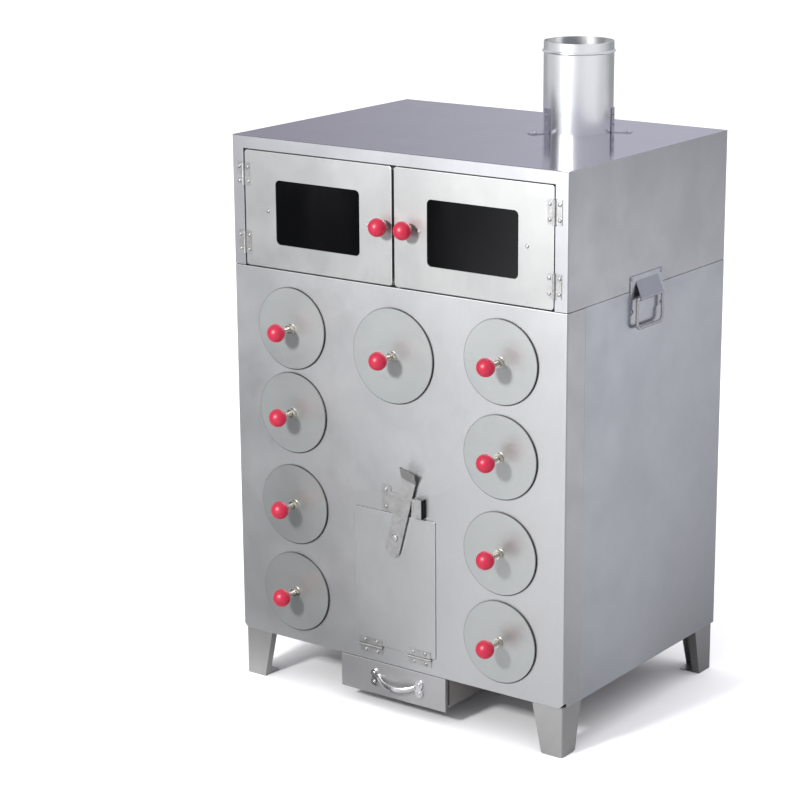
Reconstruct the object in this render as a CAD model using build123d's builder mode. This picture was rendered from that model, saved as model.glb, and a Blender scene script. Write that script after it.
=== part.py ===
from build123d import *
from math import asin, atan2, cos, hypot, radians, sin
import os

# Charcoal-fired baked potato oven: a folded-sheet roasting body with nine round drawers, a fire
# door and an ash drawer, a warming cabinet with two windowed doors on top, and four sheet legs.
# The frame: X to the right, Y to the back, Z up, origin on the ground under the middle of the
# oven's outer box. Heights named *_UP are measured from the underside of the roasting body.

# ---- driving dimensions (mm) ----
BODY_W = 650.0
BODY_D = 485.0
LOWER_H = 639.0
UPPER_H = 216.0
LEG_H = 84.0
SHEET = 1.2
BEND_R = 2.0            # outside radius of the sheet bends
RETURN = 14.0           # width of the folded edges
SEAT_GAP = 0.3          # between pieces that move past or lie close to each other
PIN_FIT = 0.05          # radial, between a pin and what turns on it

PANEL_WRAP = 52.0       # how far the front panel wraps round the corners
WRAP_GAP = 0.6          # joint line between the front panel and the wrapper
LAP = 18.0              # tongue of the wrapper behind the front panel
SILL = 20.0             # top return of the front panel, the sill under the doors
CORNER_CUT = 8.0        # bottom front corners, cut off for the bends
CORNER_CUT_D = 10.0

DRAWER_EDGE_IN = 119.1  # outer drawer columns from the oven's sides
LEFT_ROW_1_UP = 545.0
LEFT_ROW_2_UP = 402.0
LEFT_ROW_3_UP = 243.0
LEFT_ROW_4_UP = 89.0
RIGHT_ROW_1_UP = 548.0
RIGHT_ROW_2_UP = 395.0
RIGHT_ROW_3_UP = 237.0
RIGHT_ROW_4_UP = 89.0
CENTRE_ROW_UP = 528.0
DISC_R = 69.0
CENTRE_DISC_R = 78.8
DISC_T = 3.0
DISC_LAP = 8.0          # disc rim over the sleeve's mouth
DISC_EDGE = 1.2
SLEEVE_FROM_BACK = 60.0  # sleeves' ends from the oven's back
TROUGH_SHORT = 45.0     # troughs shorter than the sleeves
TROUGH_GAP = 0.4        # radial, trough in sleeve
TROUGH_CAP_UP = 6.0     # rear cap above the drawer's middle
STUD_R = 4.0
STUD_IN_BALL = 12.0
NUT_AF = 13.0
NUT_H = 6.5
WASHER_R = 8.0
WASHER_T = 1.5
BALL_R = 15.0
BALL_FLAT = 14.2        # middle of the ball to its flat
DRAWER_BALL_OUT = 42.8  # front panel to the middle of the ball

DOOR_HALF_GAP = 2.2     # doors from the middle of the cabinet
DOOR_EDGE_IN = 25.0     # doors' outer edges from the oven's sides
DOOR_SILL_GAP = 2.0     # doors above the roasting body
DOOR_TOP_DOWN = 22.7    # doors below the cabinet's top
DOOR_DEPTH = 13.0
DOOR_CORNER_R = 5.5
DOOR_GAP = 2.0          # door edge to the casing
DOOR_LIP = 8.0
STOP_W = 7.0            # door stops behind the edges of the doors
STOP_GAP = 1.0
STOP_H = 12.0
COVER_LIP = 12.0
VENTS = 7
VENT_L = 60.0
VENT_W = 6.0
VENT_PITCH = 16.0
WINDOW_NEAR_IN = 63.5   # window from the door's edge beside the knobs
WINDOW_FAR_IN = 64.1    # window from the hinged edge
WINDOW_LOW_IN = 40.4
WINDOW_TOP_IN = 44.8
WINDOW_CORNER_R = 8.0
GLASS_LAP = 7.0
GLASS_T = 4.0
CLIP_NEAR_OFF = 15.2    # window's edge to the clip screws, beside the knobs
CLIP_FAR_OFF = 16.1     # the same, beside the hinges
CLIP_H = 24.0
CLIP_FOOT = 5.0
CLIP_REACH = 11.0
CLIP_T = 1.2
LEFT_KNOB_X = -15.5
RIGHT_KNOB_X = 33.0
KNOB_RISE = 98.0        # knobs above the roasting body
DOOR_BALL_OUT = 20.0
COLLAR_R = 6.5
KNOB_SCREW_R = 2.5
KNOB_SCREW_IN = 14.0

HINGE_TOP_DOWN = 40.3   # upper hinges below the doors' top
HINGE_LOW_UP = 38.0     # lower hinges above the doors' bottom
HINGE_L = 38.0
HINGE_LEAF_W = 13.0
HINGE_LEAF_T = 1.2
HINGE_AXIS_OUT = 2.6
HINGE_AXIS_IN = 1.5     # door edge to the hinge axis
KNUCKLE_R = 2.3
HINGE_PIN_R = 1.2
KNUCKLE_GAP = 0.3
HINGE_SCREW_IN = 9.0    # hinge axis to the screws
HINGE_SCREW_SPAN = 24.0

FIRE_DOOR_HALF_W = 81.0
FIRE_DOOR_BOTTOM_UP = 29.6
FIRE_DOOR_TOP_UP = 265.0
FIRE_DOOR_T = 2.0
FIRE_DOOR_CORNER_R = 4.0
FIRE_LAP = 8.0          # fire door past its opening at the sides
FIRE_LAP_LOW = 9.4
FIRE_LAP_TOP = 10.0
SHIELD_GAP = 2.5        # heat shield from the sides of the opening
SHIELD_GAP_UP = 4.0     # heat shield from its top and bottom
SHIELD_T = 12.0
FIRE_AXIS_UP = 26.5
FIRE_AXIS_OUT = 2.9
FIRE_HINGE_X = 49.0
FIRE_HINGE_L = 46.0
FIRE_KNUCKLE_R = 2.4

LEVER_X = 5.0
LEVER_DOWN = 39.0       # lever's pivot below the fire door's top
LEVER_TILT = 15.1
LEVER_BACK_OUT = 5.0
LEVER_T = 2.2
LEVER_W = 28.0
LEVER_TAIL = 34.0
LEVER_REACH = 105.0
TAB_L = 26.0
TAB_ANGLE = 31.0
LEVER_CORNER_R = 4.0
PIVOT_R = 4.0
PIVOT_BOSS_R = 6.5
PIVOT_HEAD_R = 5.6
PIVOT_HEAD_H = 3.0

KEEPER_LEFT = -25.0
KEEPER_RIGHT = 62.0
KEEPER_T = 1.5
KEEPER_OUT = 11.5
KEEPER_LIP = 20.5
KEEPER_GAP = 3.5        # keeper's strap above the fire door
KEEPER_H = 31.5
KEEPER_PLATE_W = 18.0
KEEPER_PLATE_DROP = 1.9  # screw plate below the strap
KEEPER_PLATE_RISE = 11.0  # and above it
KEEPER_SCREW_X = -17.0
KEEPER_SCREW_IN = 8.0   # plate's top to the upper screw
KEEPER_SCREW_SPAN = 29.0

ASH_X = -7.5
ASH_FRONT_W = 213.0
ASH_TOP_DOWN = 0.5      # ash drawer front, from the body's underside down
ASH_BOTTOM_DOWN = 59.0
ASH_EDGE = 3.6          # hemmed edge of the drawer front
TRAY_W = 200.0
TRAY_TOP_DOWN = 4.0
TRAY_BOTTOM_DOWN = 54.0
TRAY_L = 380.0
TRAY_GAP = 1.0
RAIL_T = 1.5
RAIL_LEDGE = 12.0
RAIL_START = 18.0
RAIL_L = 384.0
BOW_X = 2.0
BOW_DOWN = 29.0
BOW_FOOT_X = 46.0       # bow's feet from its middle
BOW_SCREW_SPAN = 15.5
BOW_LOBE_R = 7.0
BOW_FOOT_T = 3.0
BOW_NECK = 9.0
BOW_OUT = 16.0
BOW_DROOP = 7.0
BOW_GRIP_W = 10.0
BOW_GRIP_T = 6.0

LEG_TOP_W = 56.0
LEG_FOOT_W = 39.0
LEG_LIP = 14.0
LEG_T = 2.0
LEG_INSET = 3.0
LEG_BEND_R = 3.0
FOOT_HOLE_R = 4.0
LEG_SCREW_ALONG = 24.0

FLUE_X = 124.0
FLUE_BACK = 344.5       # flue centre behind the front panel
FLUE_R = 57.5
FLUE_UP = 147.0         # rim above the top cover
FLUE_BEAD_DOWN = 16.0
FLUE_BEAD_R = 2.4
FLUE_COLLAR_R = 72.0
FLUE_TAIL = 12.0
FLUE_HOLE_GAP = 0.4
BRACKET_ANGLES = (-118.0, 18.0)
BRACKET_W = 16.0
BRACKET_T = 1.5
BRACKET_FOOT = 32.0
BRACKET_H = 40.0
BRACKET_RIVET_UPS = (14.0, 30.0)
BRACKET_FOOT_RIVET = 23.0

HANDLE_BACK = 231.0     # side handle's middle behind the front panel
HANDLE_PLATE_W = 100.0
HANDLE_PLATE_RISE = 24.0  # plate's top above the joint with the cabinet
HANDLE_PLATE_DROP = 37.0  # plate's bottom below it
HANDLE_PLATE_T = 1.5
HANDLE_RIVET_IN = 5.0
BAIL_DROP = 12.0        # bail's axis below the joint with the cabinet
BAIL_OUT = 8.0
BAIL_R = 2.75
BAIL_W = 78.0
BAIL_H = 48.0
BAIL_CORNER_R = 9.0
BAIL_TOP_R = 5.0
ROLL_T = 1.2
ROLL_END_GAP = 0.5
TONGUE_TOP_DOWN = 8.0   # tongue's root below the plate's top

FIREBOX_HALF_W = 110.0
FIREBOX_FROM_SUPPORT = 27.0
FIREBOX_H = 300.0
FIREBOX_T = 2.0
FIREBOX_LEDGE = 15.0
FIREBOX_LEDGE_UP = 20.0
GRATE_T = 10.0
GRATE_GAP = 1.5
SLOT_W = 9.0
SLOT_L = 150.0
SLOT_PITCH = 20.0
GRATE_SLOTS = 9
ASH_HOLE_W = 170.0
ASH_HOLE_FRONT = 60.0
ASH_HOLE_IN = 20.0      # ash hole's end from the fire box's back
SUPPORT_FROM_BACK = 68.0  # rear plate that carries the sleeves' far ends
SUPPORT_T = 1.5
SUPPORT_CLEAR = 3.0

RACK_SIDE_GAP = 45.0    # rack's ends from the oven's sides
RACK_FRONT = 30.0
RACK_BACK = 262.0
RACK_UP = 36.0
RACK_WIRE_R = 2.0
RACK_FRAME_R = 3.0
RACK_LEG_R = 2.4
RACK_WIRES = 23
RACK_LEG_IN = 60.0
RACK_END = 11.0         # frame bars past the last wires

SCREW_R = 1.5
SCREW_HEAD_R = 3.1
SCREW_HEAD_H = 1.5
SCREW_TAIL = 1.5        # screw past the last sheet
SCREW_HOLE_GAP = 0.15

# ---- places worked out from the dimensions ----
HALF_W = BODY_W / 2
SUPPORT_BACK = BODY_D - SUPPORT_FROM_BACK
SLEEVE_L = BODY_D - SLEEVE_FROM_BACK
TROUGH_L = SLEEVE_L - TROUGH_SHORT
FIREBOX_BACK = SUPPORT_BACK - FIREBOX_FROM_SUPPORT
ASH_HOLE_BACK = FIREBOX_BACK - ASH_HOLE_IN
FIRE_OPENING_HALF_W = FIRE_DOOR_HALF_W - FIRE_LAP
FIRE_OPENING_BOTTOM_UP = FIRE_DOOR_BOTTOM_UP + FIRE_LAP_LOW
FIRE_OPENING_TOP_UP = FIRE_DOOR_TOP_UP - FIRE_LAP_TOP
SHIELD_HALF_W = FIRE_OPENING_HALF_W - SHIELD_GAP
SHIELD_BOTTOM_UP = FIRE_OPENING_BOTTOM_UP + SHIELD_GAP_UP
SHIELD_TOP_UP = FIRE_OPENING_TOP_UP - SHIELD_GAP_UP
LEVER_UP = FIRE_DOOR_TOP_UP - LEVER_DOWN
KEEPER_BOTTOM_UP = FIRE_DOOR_TOP_UP + KEEPER_GAP
KEEPER_TOP_UP = KEEPER_BOTTOM_UP + KEEPER_H
KEEPER_PLATE_BOTTOM_UP = KEEPER_BOTTOM_UP - KEEPER_PLATE_DROP
KEEPER_PLATE_TOP_UP = KEEPER_TOP_UP + KEEPER_PLATE_RISE
KEEPER_SCREW_TOP_UP = KEEPER_PLATE_TOP_UP - KEEPER_SCREW_IN
KEEPER_SCREW_UPS = (KEEPER_SCREW_TOP_UP, KEEPER_SCREW_TOP_UP - KEEPER_SCREW_SPAN)
DRAWER_X = HALF_W - DRAWER_EDGE_IN
LEFT_ROWS_UP = (LEFT_ROW_1_UP, LEFT_ROW_2_UP, LEFT_ROW_3_UP, LEFT_ROW_4_UP)
RIGHT_ROWS_UP = (RIGHT_ROW_1_UP, RIGHT_ROW_2_UP, RIGHT_ROW_3_UP, RIGHT_ROW_4_UP)
DOOR_EDGE_X = HALF_W - DOOR_EDGE_IN
DOOR_BOTTOM_UP = LOWER_H + DOOR_SILL_GAP
DOOR_TOP_UP = LOWER_H + UPPER_H - DOOR_TOP_DOWN
WINDOW_NEAR_X = DOOR_HALF_GAP + WINDOW_NEAR_IN
WINDOW_FAR_X = DOOR_EDGE_X - WINDOW_FAR_IN
WINDOW_X = (WINDOW_NEAR_X + WINDOW_FAR_X) / 2
WINDOW_W = WINDOW_FAR_X - WINDOW_NEAR_X
WINDOW_LOW_UP = DOOR_BOTTOM_UP + WINDOW_LOW_IN
WINDOW_TOP_UP = DOOR_TOP_UP - WINDOW_TOP_IN
WINDOW_UP = (WINDOW_LOW_UP + WINDOW_TOP_UP) / 2
WINDOW_H = WINDOW_TOP_UP - WINDOW_LOW_UP
CLIP_SCREW_X = (WINDOW_NEAR_X - CLIP_NEAR_OFF, WINDOW_FAR_X + CLIP_FAR_OFF)
KNOB_UP = LOWER_H + KNOB_RISE
HINGE_UPS = (DOOR_TOP_UP - HINGE_TOP_DOWN, DOOR_BOTTOM_UP + HINGE_LOW_UP)
HANDLE_PLATE_TOP_UP = LOWER_H + HANDLE_PLATE_RISE
HANDLE_PLATE_BOTTOM_UP = LOWER_H - HANDLE_PLATE_DROP
BAIL_UP = LOWER_H - BAIL_DROP
TONGUE_TOP_UP = HANDLE_PLATE_TOP_UP - TONGUE_TOP_DOWN
RACK_HALF_W = HALF_W - RACK_SIDE_GAP
KNOB_REACH = DRAWER_BALL_OUT + BALL_R
FRONT_Y = (KNOB_REACH - BODY_D) / 2
SEAM_Z = LEG_H + LOWER_H
TOP_Z = SEAM_Z + UPPER_H
FRONT = Plane.XZ.offset(-FRONT_Y)
SLEEVE_R = DISC_R - DISC_LAP
CENTRE_SLEEVE_R = CENTRE_DISC_R - DISC_LAP
FLUE_Y = FRONT_Y + FLUE_BACK
HOLE_R = SCREW_R + SCREW_HOLE_GAP
COVER_Z = TOP_Z - SHEET

os.makedirs("parts", exist_ok=True)


def front_plane(out, up=0.0):
    """Plane facing the front, `out` before the front panel, origin `up` above the body's underside."""
    return Plane(origin=(0, FRONT_Y - out, LEG_H + up), x_dir=(1, 0, 0), z_dir=(0, -1, 0))


def level(up):
    """Horizontal plane `up` above the body's underside, origin in the middle of the front panel."""
    return Plane(origin=(0, FRONT_Y, LEG_H + up), x_dir=(1, 0, 0), z_dir=(0, 0, 1))


def side_plane(sign, out):
    """Plane facing outwards on the right (sign 1) or left (-1) side: x to the back, y up."""
    return Plane(
        origin=(sign * (HALF_W + out), FRONT_Y, LEG_H), x_dir=(0, sign, 0), z_dir=(sign, 0, 0)
    )


def write_group(label, *pieces):
    """Write one node that is several separate pieces."""
    node = Compound([solid for piece in pieces for solid in piece.solids()])
    node.label = label
    export_step(node, f"parts/{label}.step")
    return node


def span(low, high):
    """Middle and length of a stretch."""
    return (low + high) / 2, high - low


def screw(plane, points, grip, tail=SCREW_TAIL):
    """Pan-head screws on a plane, one solid at each point: head above it, shank through `grip`."""
    with BuildPart() as screws:
        with BuildSketch(plane.offset(-grip - tail)):
            with Locations(*points):
                Circle(SCREW_R)
        extrude(amount=grip + tail)
        with BuildSketch(plane):
            with Locations(*points):
                Circle(SCREW_HEAD_R)
        extrude(amount=SCREW_HEAD_H)
        tops = screws.edges().filter_by(GeomType.CIRCLE).group_by(SortBy.RADIUS)[-1]
        rims = [rim for rim in tops if plane.to_local_coords(rim.center()).Z > SCREW_HEAD_H / 2]
        fillet(rims, radius=SCREW_HEAD_H * 0.7)
    return screws.part


def knuckles(length):
    """Stretches along a three-knuckle hinge: the two of the fixed leaf, the one of the moving leaf."""
    third = length / 3
    fixed = [(-length / 2, -third / 2 - KNUCKLE_GAP / 2), (third / 2 + KNUCKLE_GAP / 2, length / 2)]
    moving = [(-third / 2 + KNUCKLE_GAP / 2, third / 2 - KNUCKLE_GAP / 2)]
    return fixed, moving


def leaf_face(section, drop):
    """Plane on the outer face of a hinge leaf: x along the leaf, facing outwards."""
    origin = section.origin + section.y_dir * (HINGE_LEAF_T - drop)
    return Plane(origin=origin, x_dir=section.x_dir, z_dir=section.y_dir)


def hinge_screws_at():
    """Places of a leaf's two screws on its face."""
    return [(HINGE_SCREW_IN, -HINGE_SCREW_SPAN / 2), (HINGE_SCREW_IN, HINGE_SCREW_SPAN / 2)]


def hinge_leaf(section, length, stretches, drop, knuckle_r):
    """Leaf of a butt hinge. The section has its origin in the middle of the hinge axis, x along
    the leaf and y outwards; the leaf lies `drop` behind the axis and curls round the pin."""
    with BuildPart() as leaf:
        middle, width = span(knuckle_r + KNUCKLE_GAP, HINGE_LEAF_W)
        with BuildSketch(section):
            with Locations((middle, HINGE_LEAF_T / 2 - drop)):
                Rectangle(width, HINGE_LEAF_T)
        extrude(amount=length / 2, both=True)
        for start, end in stretches:
            with BuildSketch(section.offset(start)):
                Circle(knuckle_r)
                with Locations((HINGE_LEAF_W / 4, HINGE_LEAF_T / 2 - drop)):
                    Rectangle(HINGE_LEAF_W / 2, HINGE_LEAF_T)
                Circle(HINGE_PIN_R + PIN_FIT, mode=Mode.SUBTRACT)
            extrude(amount=end - start)
        with BuildSketch(leaf_face(section, drop)):
            with Locations(*hinge_screws_at()):
                Circle(HOLE_R)
        extrude(amount=-HINGE_LEAF_T, mode=Mode.SUBTRACT)
    return leaf.part


def hinge_pin(section, length, knuckle_r):
    """Pin through a hinge, peened at both ends."""
    with BuildPart() as pin:
        with BuildSketch(section):
            Circle(HINGE_PIN_R)
        extrude(amount=length / 2, both=True)
        for end in (-1, 1):
            with BuildSketch(section.offset(end * length / 2)):
                Circle(knuckle_r - KNUCKLE_GAP)
            extrude(amount=end * KNUCKLE_GAP * 3)
    return pin.part


def door_hinge(side, up, towards):
    """Section through a cabinet door's hinge, leaf towards +x (1) or -x (-1)."""
    x = side * (DOOR_EDGE_X + HINGE_AXIS_IN)
    return Plane(
        origin=(x, FRONT_Y - HINGE_AXIS_OUT, LEG_H + up), x_dir=(towards, 0, 0), z_dir=(0, 0, -towards)
    )


def fire_hinge(x, towards):
    """Section through a fire door hinge, leaf up (1) or down (-1)."""
    return Plane(
        origin=(x, FRONT_Y - FIRE_AXIS_OUT, LEG_H + FIRE_AXIS_UP),
        x_dir=(0, 0, towards),
        z_dir=(towards, 0, 0),
    )


def folded(plane, points, thickness, side, bend=BEND_R):
    """Section of a folded sheet: flats joined by bends, thickened to one side of their line."""
    with BuildSketch(plane) as section:
        with BuildLine():
            FilletPolyline(*points, radius=bend)
            offset(amount=thickness, side=side)
        make_face()
    return section.sketch


DOOR_BODY_HINGES = [door_hinge(side, up, side) for side in (-1, 1) for up in HINGE_UPS]
FIRE_BODY_HINGES = [fire_hinge(x, -1) for x in (-FIRE_HINGE_X, FIRE_HINGE_X)]
FIRE_DOOR_HINGES = [fire_hinge(x, 1) for x in (-FIRE_HINGE_X, FIRE_HINGE_X)]
FIRE_FACE_OUT = FIRE_DOOR_T + SEAT_GAP
KEEPER_SCREWS = [(KEEPER_SCREW_X, up) for up in KEEPER_SCREW_UPS]
DRAWERS = (
    [("left_drawer_%d" % (row + 1), -DRAWER_X, up, DISC_R) for row, up in enumerate(LEFT_ROWS_UP)]
    + [("right_drawer_%d" % (row + 1), DRAWER_X, up, DISC_R) for row, up in enumerate(RIGHT_ROWS_UP)]
    + [("centre_drawer", 0, CENTRE_ROW_UP, CENTRE_DISC_R)]
)
HANDLE_RIVETS = [
    (HANDLE_BACK + end * (HANDLE_PLATE_W / 2 - HANDLE_RIVET_IN), up)
    for end in (-1, 1)
    for up in (HANDLE_PLATE_BOTTOM_UP + HANDLE_RIVET_IN, HANDLE_PLATE_TOP_UP - HANDLE_RIVET_IN)
]
LEG_SCREW_IN = LEG_INSET + LEG_SCREW_ALONG
LEG_SCREW_EDGE = SHEET + RETURN / 2
LEG_SCREWS = [
    (x * (HALF_W - across), y_low + y * along)
    for x in (-1, 1)
    for y_low, y in ((0, 1), (BODY_D, -1))
    for across, along in ((LEG_SCREW_EDGE, LEG_SCREW_IN), (LEG_SCREW_IN, LEG_SCREW_EDGE))
]

# ---- roasting body ----
with BuildPart() as front_panel:
    wrap = [
        (-HALF_W, PANEL_WRAP),
        (-HALF_W, 0),
        (HALF_W, 0),
        (HALF_W, PANEL_WRAP),
    ]
    extrude(folded(level(0), wrap, SHEET, Side.LEFT), amount=LOWER_H, dir=(0, 0, 1))
    # folded edges: the sill on top, a narrower return below and beside
    inner_w = BODY_W - SHEET
    for up, front_return in ((0, RETURN), (LOWER_H - SHEET, SILL)):
        with BuildSketch(level(up)):
            middle, depth = span(SHEET / 2, PANEL_WRAP - LAP - SEAT_GAP)
            with Locations((0, middle)):
                RectangleRounded(inner_w, depth, BEND_R - SHEET / 2)
            middle, depth = span(front_return, PANEL_WRAP)
            with Locations((0, middle)):
                Rectangle(BODY_W - 2 * RETURN, depth, mode=Mode.SUBTRACT)
        extrude(amount=SHEET)
    long_edges = front_panel.edges().filter_by(Axis.X).filter_by(lambda e: e.length > BODY_W / 2)
    fillet(long_edges.group_by(Axis.Y)[0], radius=BEND_R / 2)
    with BuildSketch(FRONT):
        with Locations(*[(x, LEG_H + up) for name, x, up, r in DRAWERS if x]):
            Circle(SLEEVE_R + SHEET)
        with Locations((0, LEG_H + CENTRE_ROW_UP)):
            Circle(CENTRE_SLEEVE_R + SHEET)
        middle, height = span(FIRE_OPENING_BOTTOM_UP, FIRE_OPENING_TOP_UP)
        with Locations((0, LEG_H + middle)):
            RectangleRounded(2 * FIRE_OPENING_HALF_W, height, FIRE_DOOR_CORNER_R)
        with Locations(*[(x, LEG_H + up) for x, up in KEEPER_SCREWS]):
            Circle(HOLE_R)
    extrude(amount=-SHEET, mode=Mode.SUBTRACT)
    for section in FIRE_BODY_HINGES:
        with BuildSketch(leaf_face(section, FIRE_AXIS_OUT)):
            with Locations(*hinge_screws_at()):
                Circle(HOLE_R)
        extrude(amount=-HINGE_LEAF_T - SHEET, mode=Mode.SUBTRACT)
    # bottom corners cut away where the three bends meet
    with BuildSketch(FRONT):
        for side in (-1, 1):
            with BuildLine():
                Polyline(
                    (side * HALF_W, LEG_H),
                    (side * (HALF_W - CORNER_CUT), LEG_H),
                    (side * HALF_W, LEG_H + CORNER_CUT),
                    close=True,
                )
            make_face()
    extrude(amount=-CORNER_CUT_D, mode=Mode.SUBTRACT)
    # clearance holes for the front legs' screws
    with BuildSketch(level(0)):
        with Locations(*[(x, y) for x, y in LEG_SCREWS if y < PANEL_WRAP]):
            Circle(HOLE_R)
    extrude(amount=SHEET, mode=Mode.SUBTRACT)
front_panel.part.label = "front_panel"
export_step(front_panel.part, "parts/front_panel.step")

with BuildPart() as body_wrapper:
    lap_x = HALF_W - SHEET
    joint_y = PANEL_WRAP + WRAP_GAP
    wrap = [
        (-lap_x, PANEL_WRAP - LAP),
        (-lap_x, PANEL_WRAP),
        (-HALF_W, joint_y),
        (-HALF_W, BODY_D),
        (HALF_W, BODY_D),
        (HALF_W, joint_y),
        (lap_x, PANEL_WRAP),
        (lap_x, PANEL_WRAP - LAP),
    ]
    with BuildSketch(level(0)):
        with BuildLine():
            Polyline(*wrap)
            offset(amount=SHEET, side=Side.RIGHT)
        make_face()
    extrude(amount=LOWER_H)
    corners = body_wrapper.edges().filter_by(Axis.Z).group_by(Axis.Y)[-1]
    fillet(corners, radius=BEND_R)
    inner_y = joint_y + SEAT_GAP
    for up in (0, LOWER_H - SHEET):
        with BuildSketch(level(up)):
            middle, depth = span(inner_y, BODY_D - SHEET / 2)
            with Locations((0, middle)):
                RectangleRounded(BODY_W - SHEET, depth, BEND_R - SHEET / 2)
            middle, depth = span(0, BODY_D - RETURN)
            with Locations((0, middle)):
                Rectangle(BODY_W - 2 * RETURN, depth, mode=Mode.SUBTRACT)
        extrude(amount=SHEET)
    for side in (-1, 1):
        with BuildSketch(side_plane(side, 0)):
            with Locations(*[(side * y, up) for y, up in HANDLE_RIVETS if up < LOWER_H]):
                Circle(HOLE_R)
        extrude(amount=-SHEET, mode=Mode.SUBTRACT)
    with BuildSketch(level(0)):
        with Locations(*[(x, y) for x, y in LEG_SCREWS if y > PANEL_WRAP]):
            Circle(HOLE_R)
    extrude(amount=SHEET, mode=Mode.SUBTRACT)
body_wrapper.part.label = "body_wrapper"
export_step(body_wrapper.part, "parts/body_wrapper.step")

with BuildPart() as floor_pan:
    with BuildSketch(level(SHEET)):
        middle, depth = span(SHEET + SEAT_GAP, BODY_D - SHEET - SEAT_GAP)
        with Locations((0, middle)):
            Rectangle(BODY_W - 4 * SHEET - 2 * SEAT_GAP, depth)
        middle, depth = span(ASH_HOLE_FRONT, ASH_HOLE_BACK)
        with Locations((ASH_X, middle)):
            Rectangle(ASH_HOLE_W, depth, mode=Mode.SUBTRACT)
        with Locations(*LEG_SCREWS):
            Circle(HOLE_R, mode=Mode.SUBTRACT)
    extrude(amount=SHEET)
# the two rails that the ash drawer hangs in, welded under the pan
web_x = TRAY_W / 2 + TRAY_GAP
ledge_down = TRAY_BOTTOM_DOWN + SEAT_GAP
ash_rails = []
for side in (-1, 1):
    with BuildPart() as ash_rail:
        with BuildSketch(Plane.XZ.offset(-FRONT_Y - RAIL_START)):
            with BuildLine():
                Polyline(
                    (ASH_X + side * web_x, LEG_H + SHEET),
                    (ASH_X + side * web_x, LEG_H - ledge_down),
                    (ASH_X + side * (web_x - RAIL_LEDGE), LEG_H - ledge_down),
                    (ASH_X + side * (web_x - RAIL_LEDGE), LEG_H - ledge_down - RAIL_T),
                    (ASH_X + side * (web_x + RAIL_T), LEG_H - ledge_down - RAIL_T),
                    (ASH_X + side * (web_x + RAIL_T), LEG_H + SHEET),
                    close=True,
                )
            make_face()
        extrude(amount=-RAIL_L)
    ash_rails.append(ash_rail.part)
write_group("floor_panel", floor_pan.part, *ash_rails)

# ---- drawer sleeves: blind tubes from the front panel to the rear support plate ----
SLEEVES = {
    "left_drawer_sleeves": [(x, up, r) for name, x, up, r in DRAWERS if x < 0],
    "right_drawer_sleeves": [(x, up, r) for name, x, up, r in DRAWERS if x > 0],
    "centre_drawer_sleeve": [(x, up, r) for name, x, up, r in DRAWERS if x == 0],
}
for node, group in SLEEVES.items():
    with BuildPart() as sleeves:
        with BuildSketch(front_plane(0)):
            for x, up, disc_r in group:
                with Locations((x, up)):
                    Circle(disc_r - DISC_LAP + SHEET)
        extrude(amount=-SLEEVE_L)
        with BuildSketch(front_plane(0)):
            for x, up, disc_r in group:
                with Locations((x, up)):
                    Circle(disc_r - DISC_LAP)
        extrude(amount=SHEET - SLEEVE_L, mode=Mode.SUBTRACT)
    sleeves.part.label = node
    export_step(sleeves.part, f"parts/{node}.step")

with BuildPart() as sleeve_support_plate:
    half = HALF_W - SHEET - SUPPORT_CLEAR
    plan = [
        (-half, SUPPORT_BACK + RETURN),
        (-half, SUPPORT_BACK),
        (half, SUPPORT_BACK),
        (half, SUPPORT_BACK + RETURN),
    ]
    low = 2 * SHEET
    height = LOWER_H - 2 * SHEET - SUPPORT_CLEAR - low
    extrude(folded(level(low), plan, SUPPORT_T, Side.LEFT), amount=height, dir=(0, 0, 1))
    with BuildSketch(front_plane(-SUPPORT_BACK + SHEET)):
        for name, x, up, disc_r in DRAWERS:
            with Locations((x, up)):
                Circle(disc_r - DISC_LAP + SHEET)
    extrude(amount=-2 * SUPPORT_T, mode=Mode.SUBTRACT)
sleeve_support_plate.part.label = "sleeve_support_plate"
export_step(sleeve_support_plate.part, "parts/sleeve_support_plate.step")

# ---- round drawers: disc, half-round trough, stud with washer and nut ----
for name, x, up, disc_r in DRAWERS:
    trough_r = disc_r - DISC_LAP - TROUGH_GAP
    with BuildPart() as drawer:
        with BuildSketch(front_plane(SEAT_GAP, up)):
            with Locations((x, 0)):
                Circle(disc_r)
        extrude(amount=DISC_T)
        rims = drawer.edges().filter_by(GeomType.CIRCLE).group_by(Axis.Y)
        fillet(rims[0], radius=DISC_EDGE)
        fillet(drawer.edges().filter_by(GeomType.CIRCLE).group_by(Axis.Y)[-1], radius=DISC_EDGE / 2)
        with BuildSketch(front_plane(SEAT_GAP, up)):
            with Locations((x, 0)):
                Circle(trough_r)
                Circle(trough_r - SHEET, mode=Mode.SUBTRACT)
            with Locations((x, disc_r / 2)):
                Rectangle(2 * disc_r, disc_r, mode=Mode.SUBTRACT)
        extrude(amount=-TROUGH_L)
        with BuildSketch(front_plane(SEAT_GAP - TROUGH_L, up)):
            with Locations((x, 0)):
                Circle(trough_r)
            with Locations((x, TROUGH_CAP_UP + disc_r / 2)):
                Rectangle(2 * disc_r, disc_r, mode=Mode.SUBTRACT)
        extrude(amount=SHEET)
        face_out = SEAT_GAP + DISC_T
        with BuildSketch(front_plane(face_out, up)):
            with Locations((x, 0)):
                Circle(WASHER_R)
        extrude(amount=WASHER_T)
        with BuildSketch(front_plane(face_out + WASHER_T, up)):
            with Locations((x, 0)):
                RegularPolygon(NUT_AF / 2, 6, major_radius=False)
        extrude(amount=NUT_H)
        ball_face = DRAWER_BALL_OUT - BALL_FLAT
        with BuildSketch(front_plane(face_out, up)):
            with Locations((x, 0)):
                Circle(STUD_R)
        extrude(amount=ball_face - face_out + STUD_IN_BALL)
    drawer.part.label = name
    export_step(drawer.part, f"parts/{name}.step")


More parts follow.
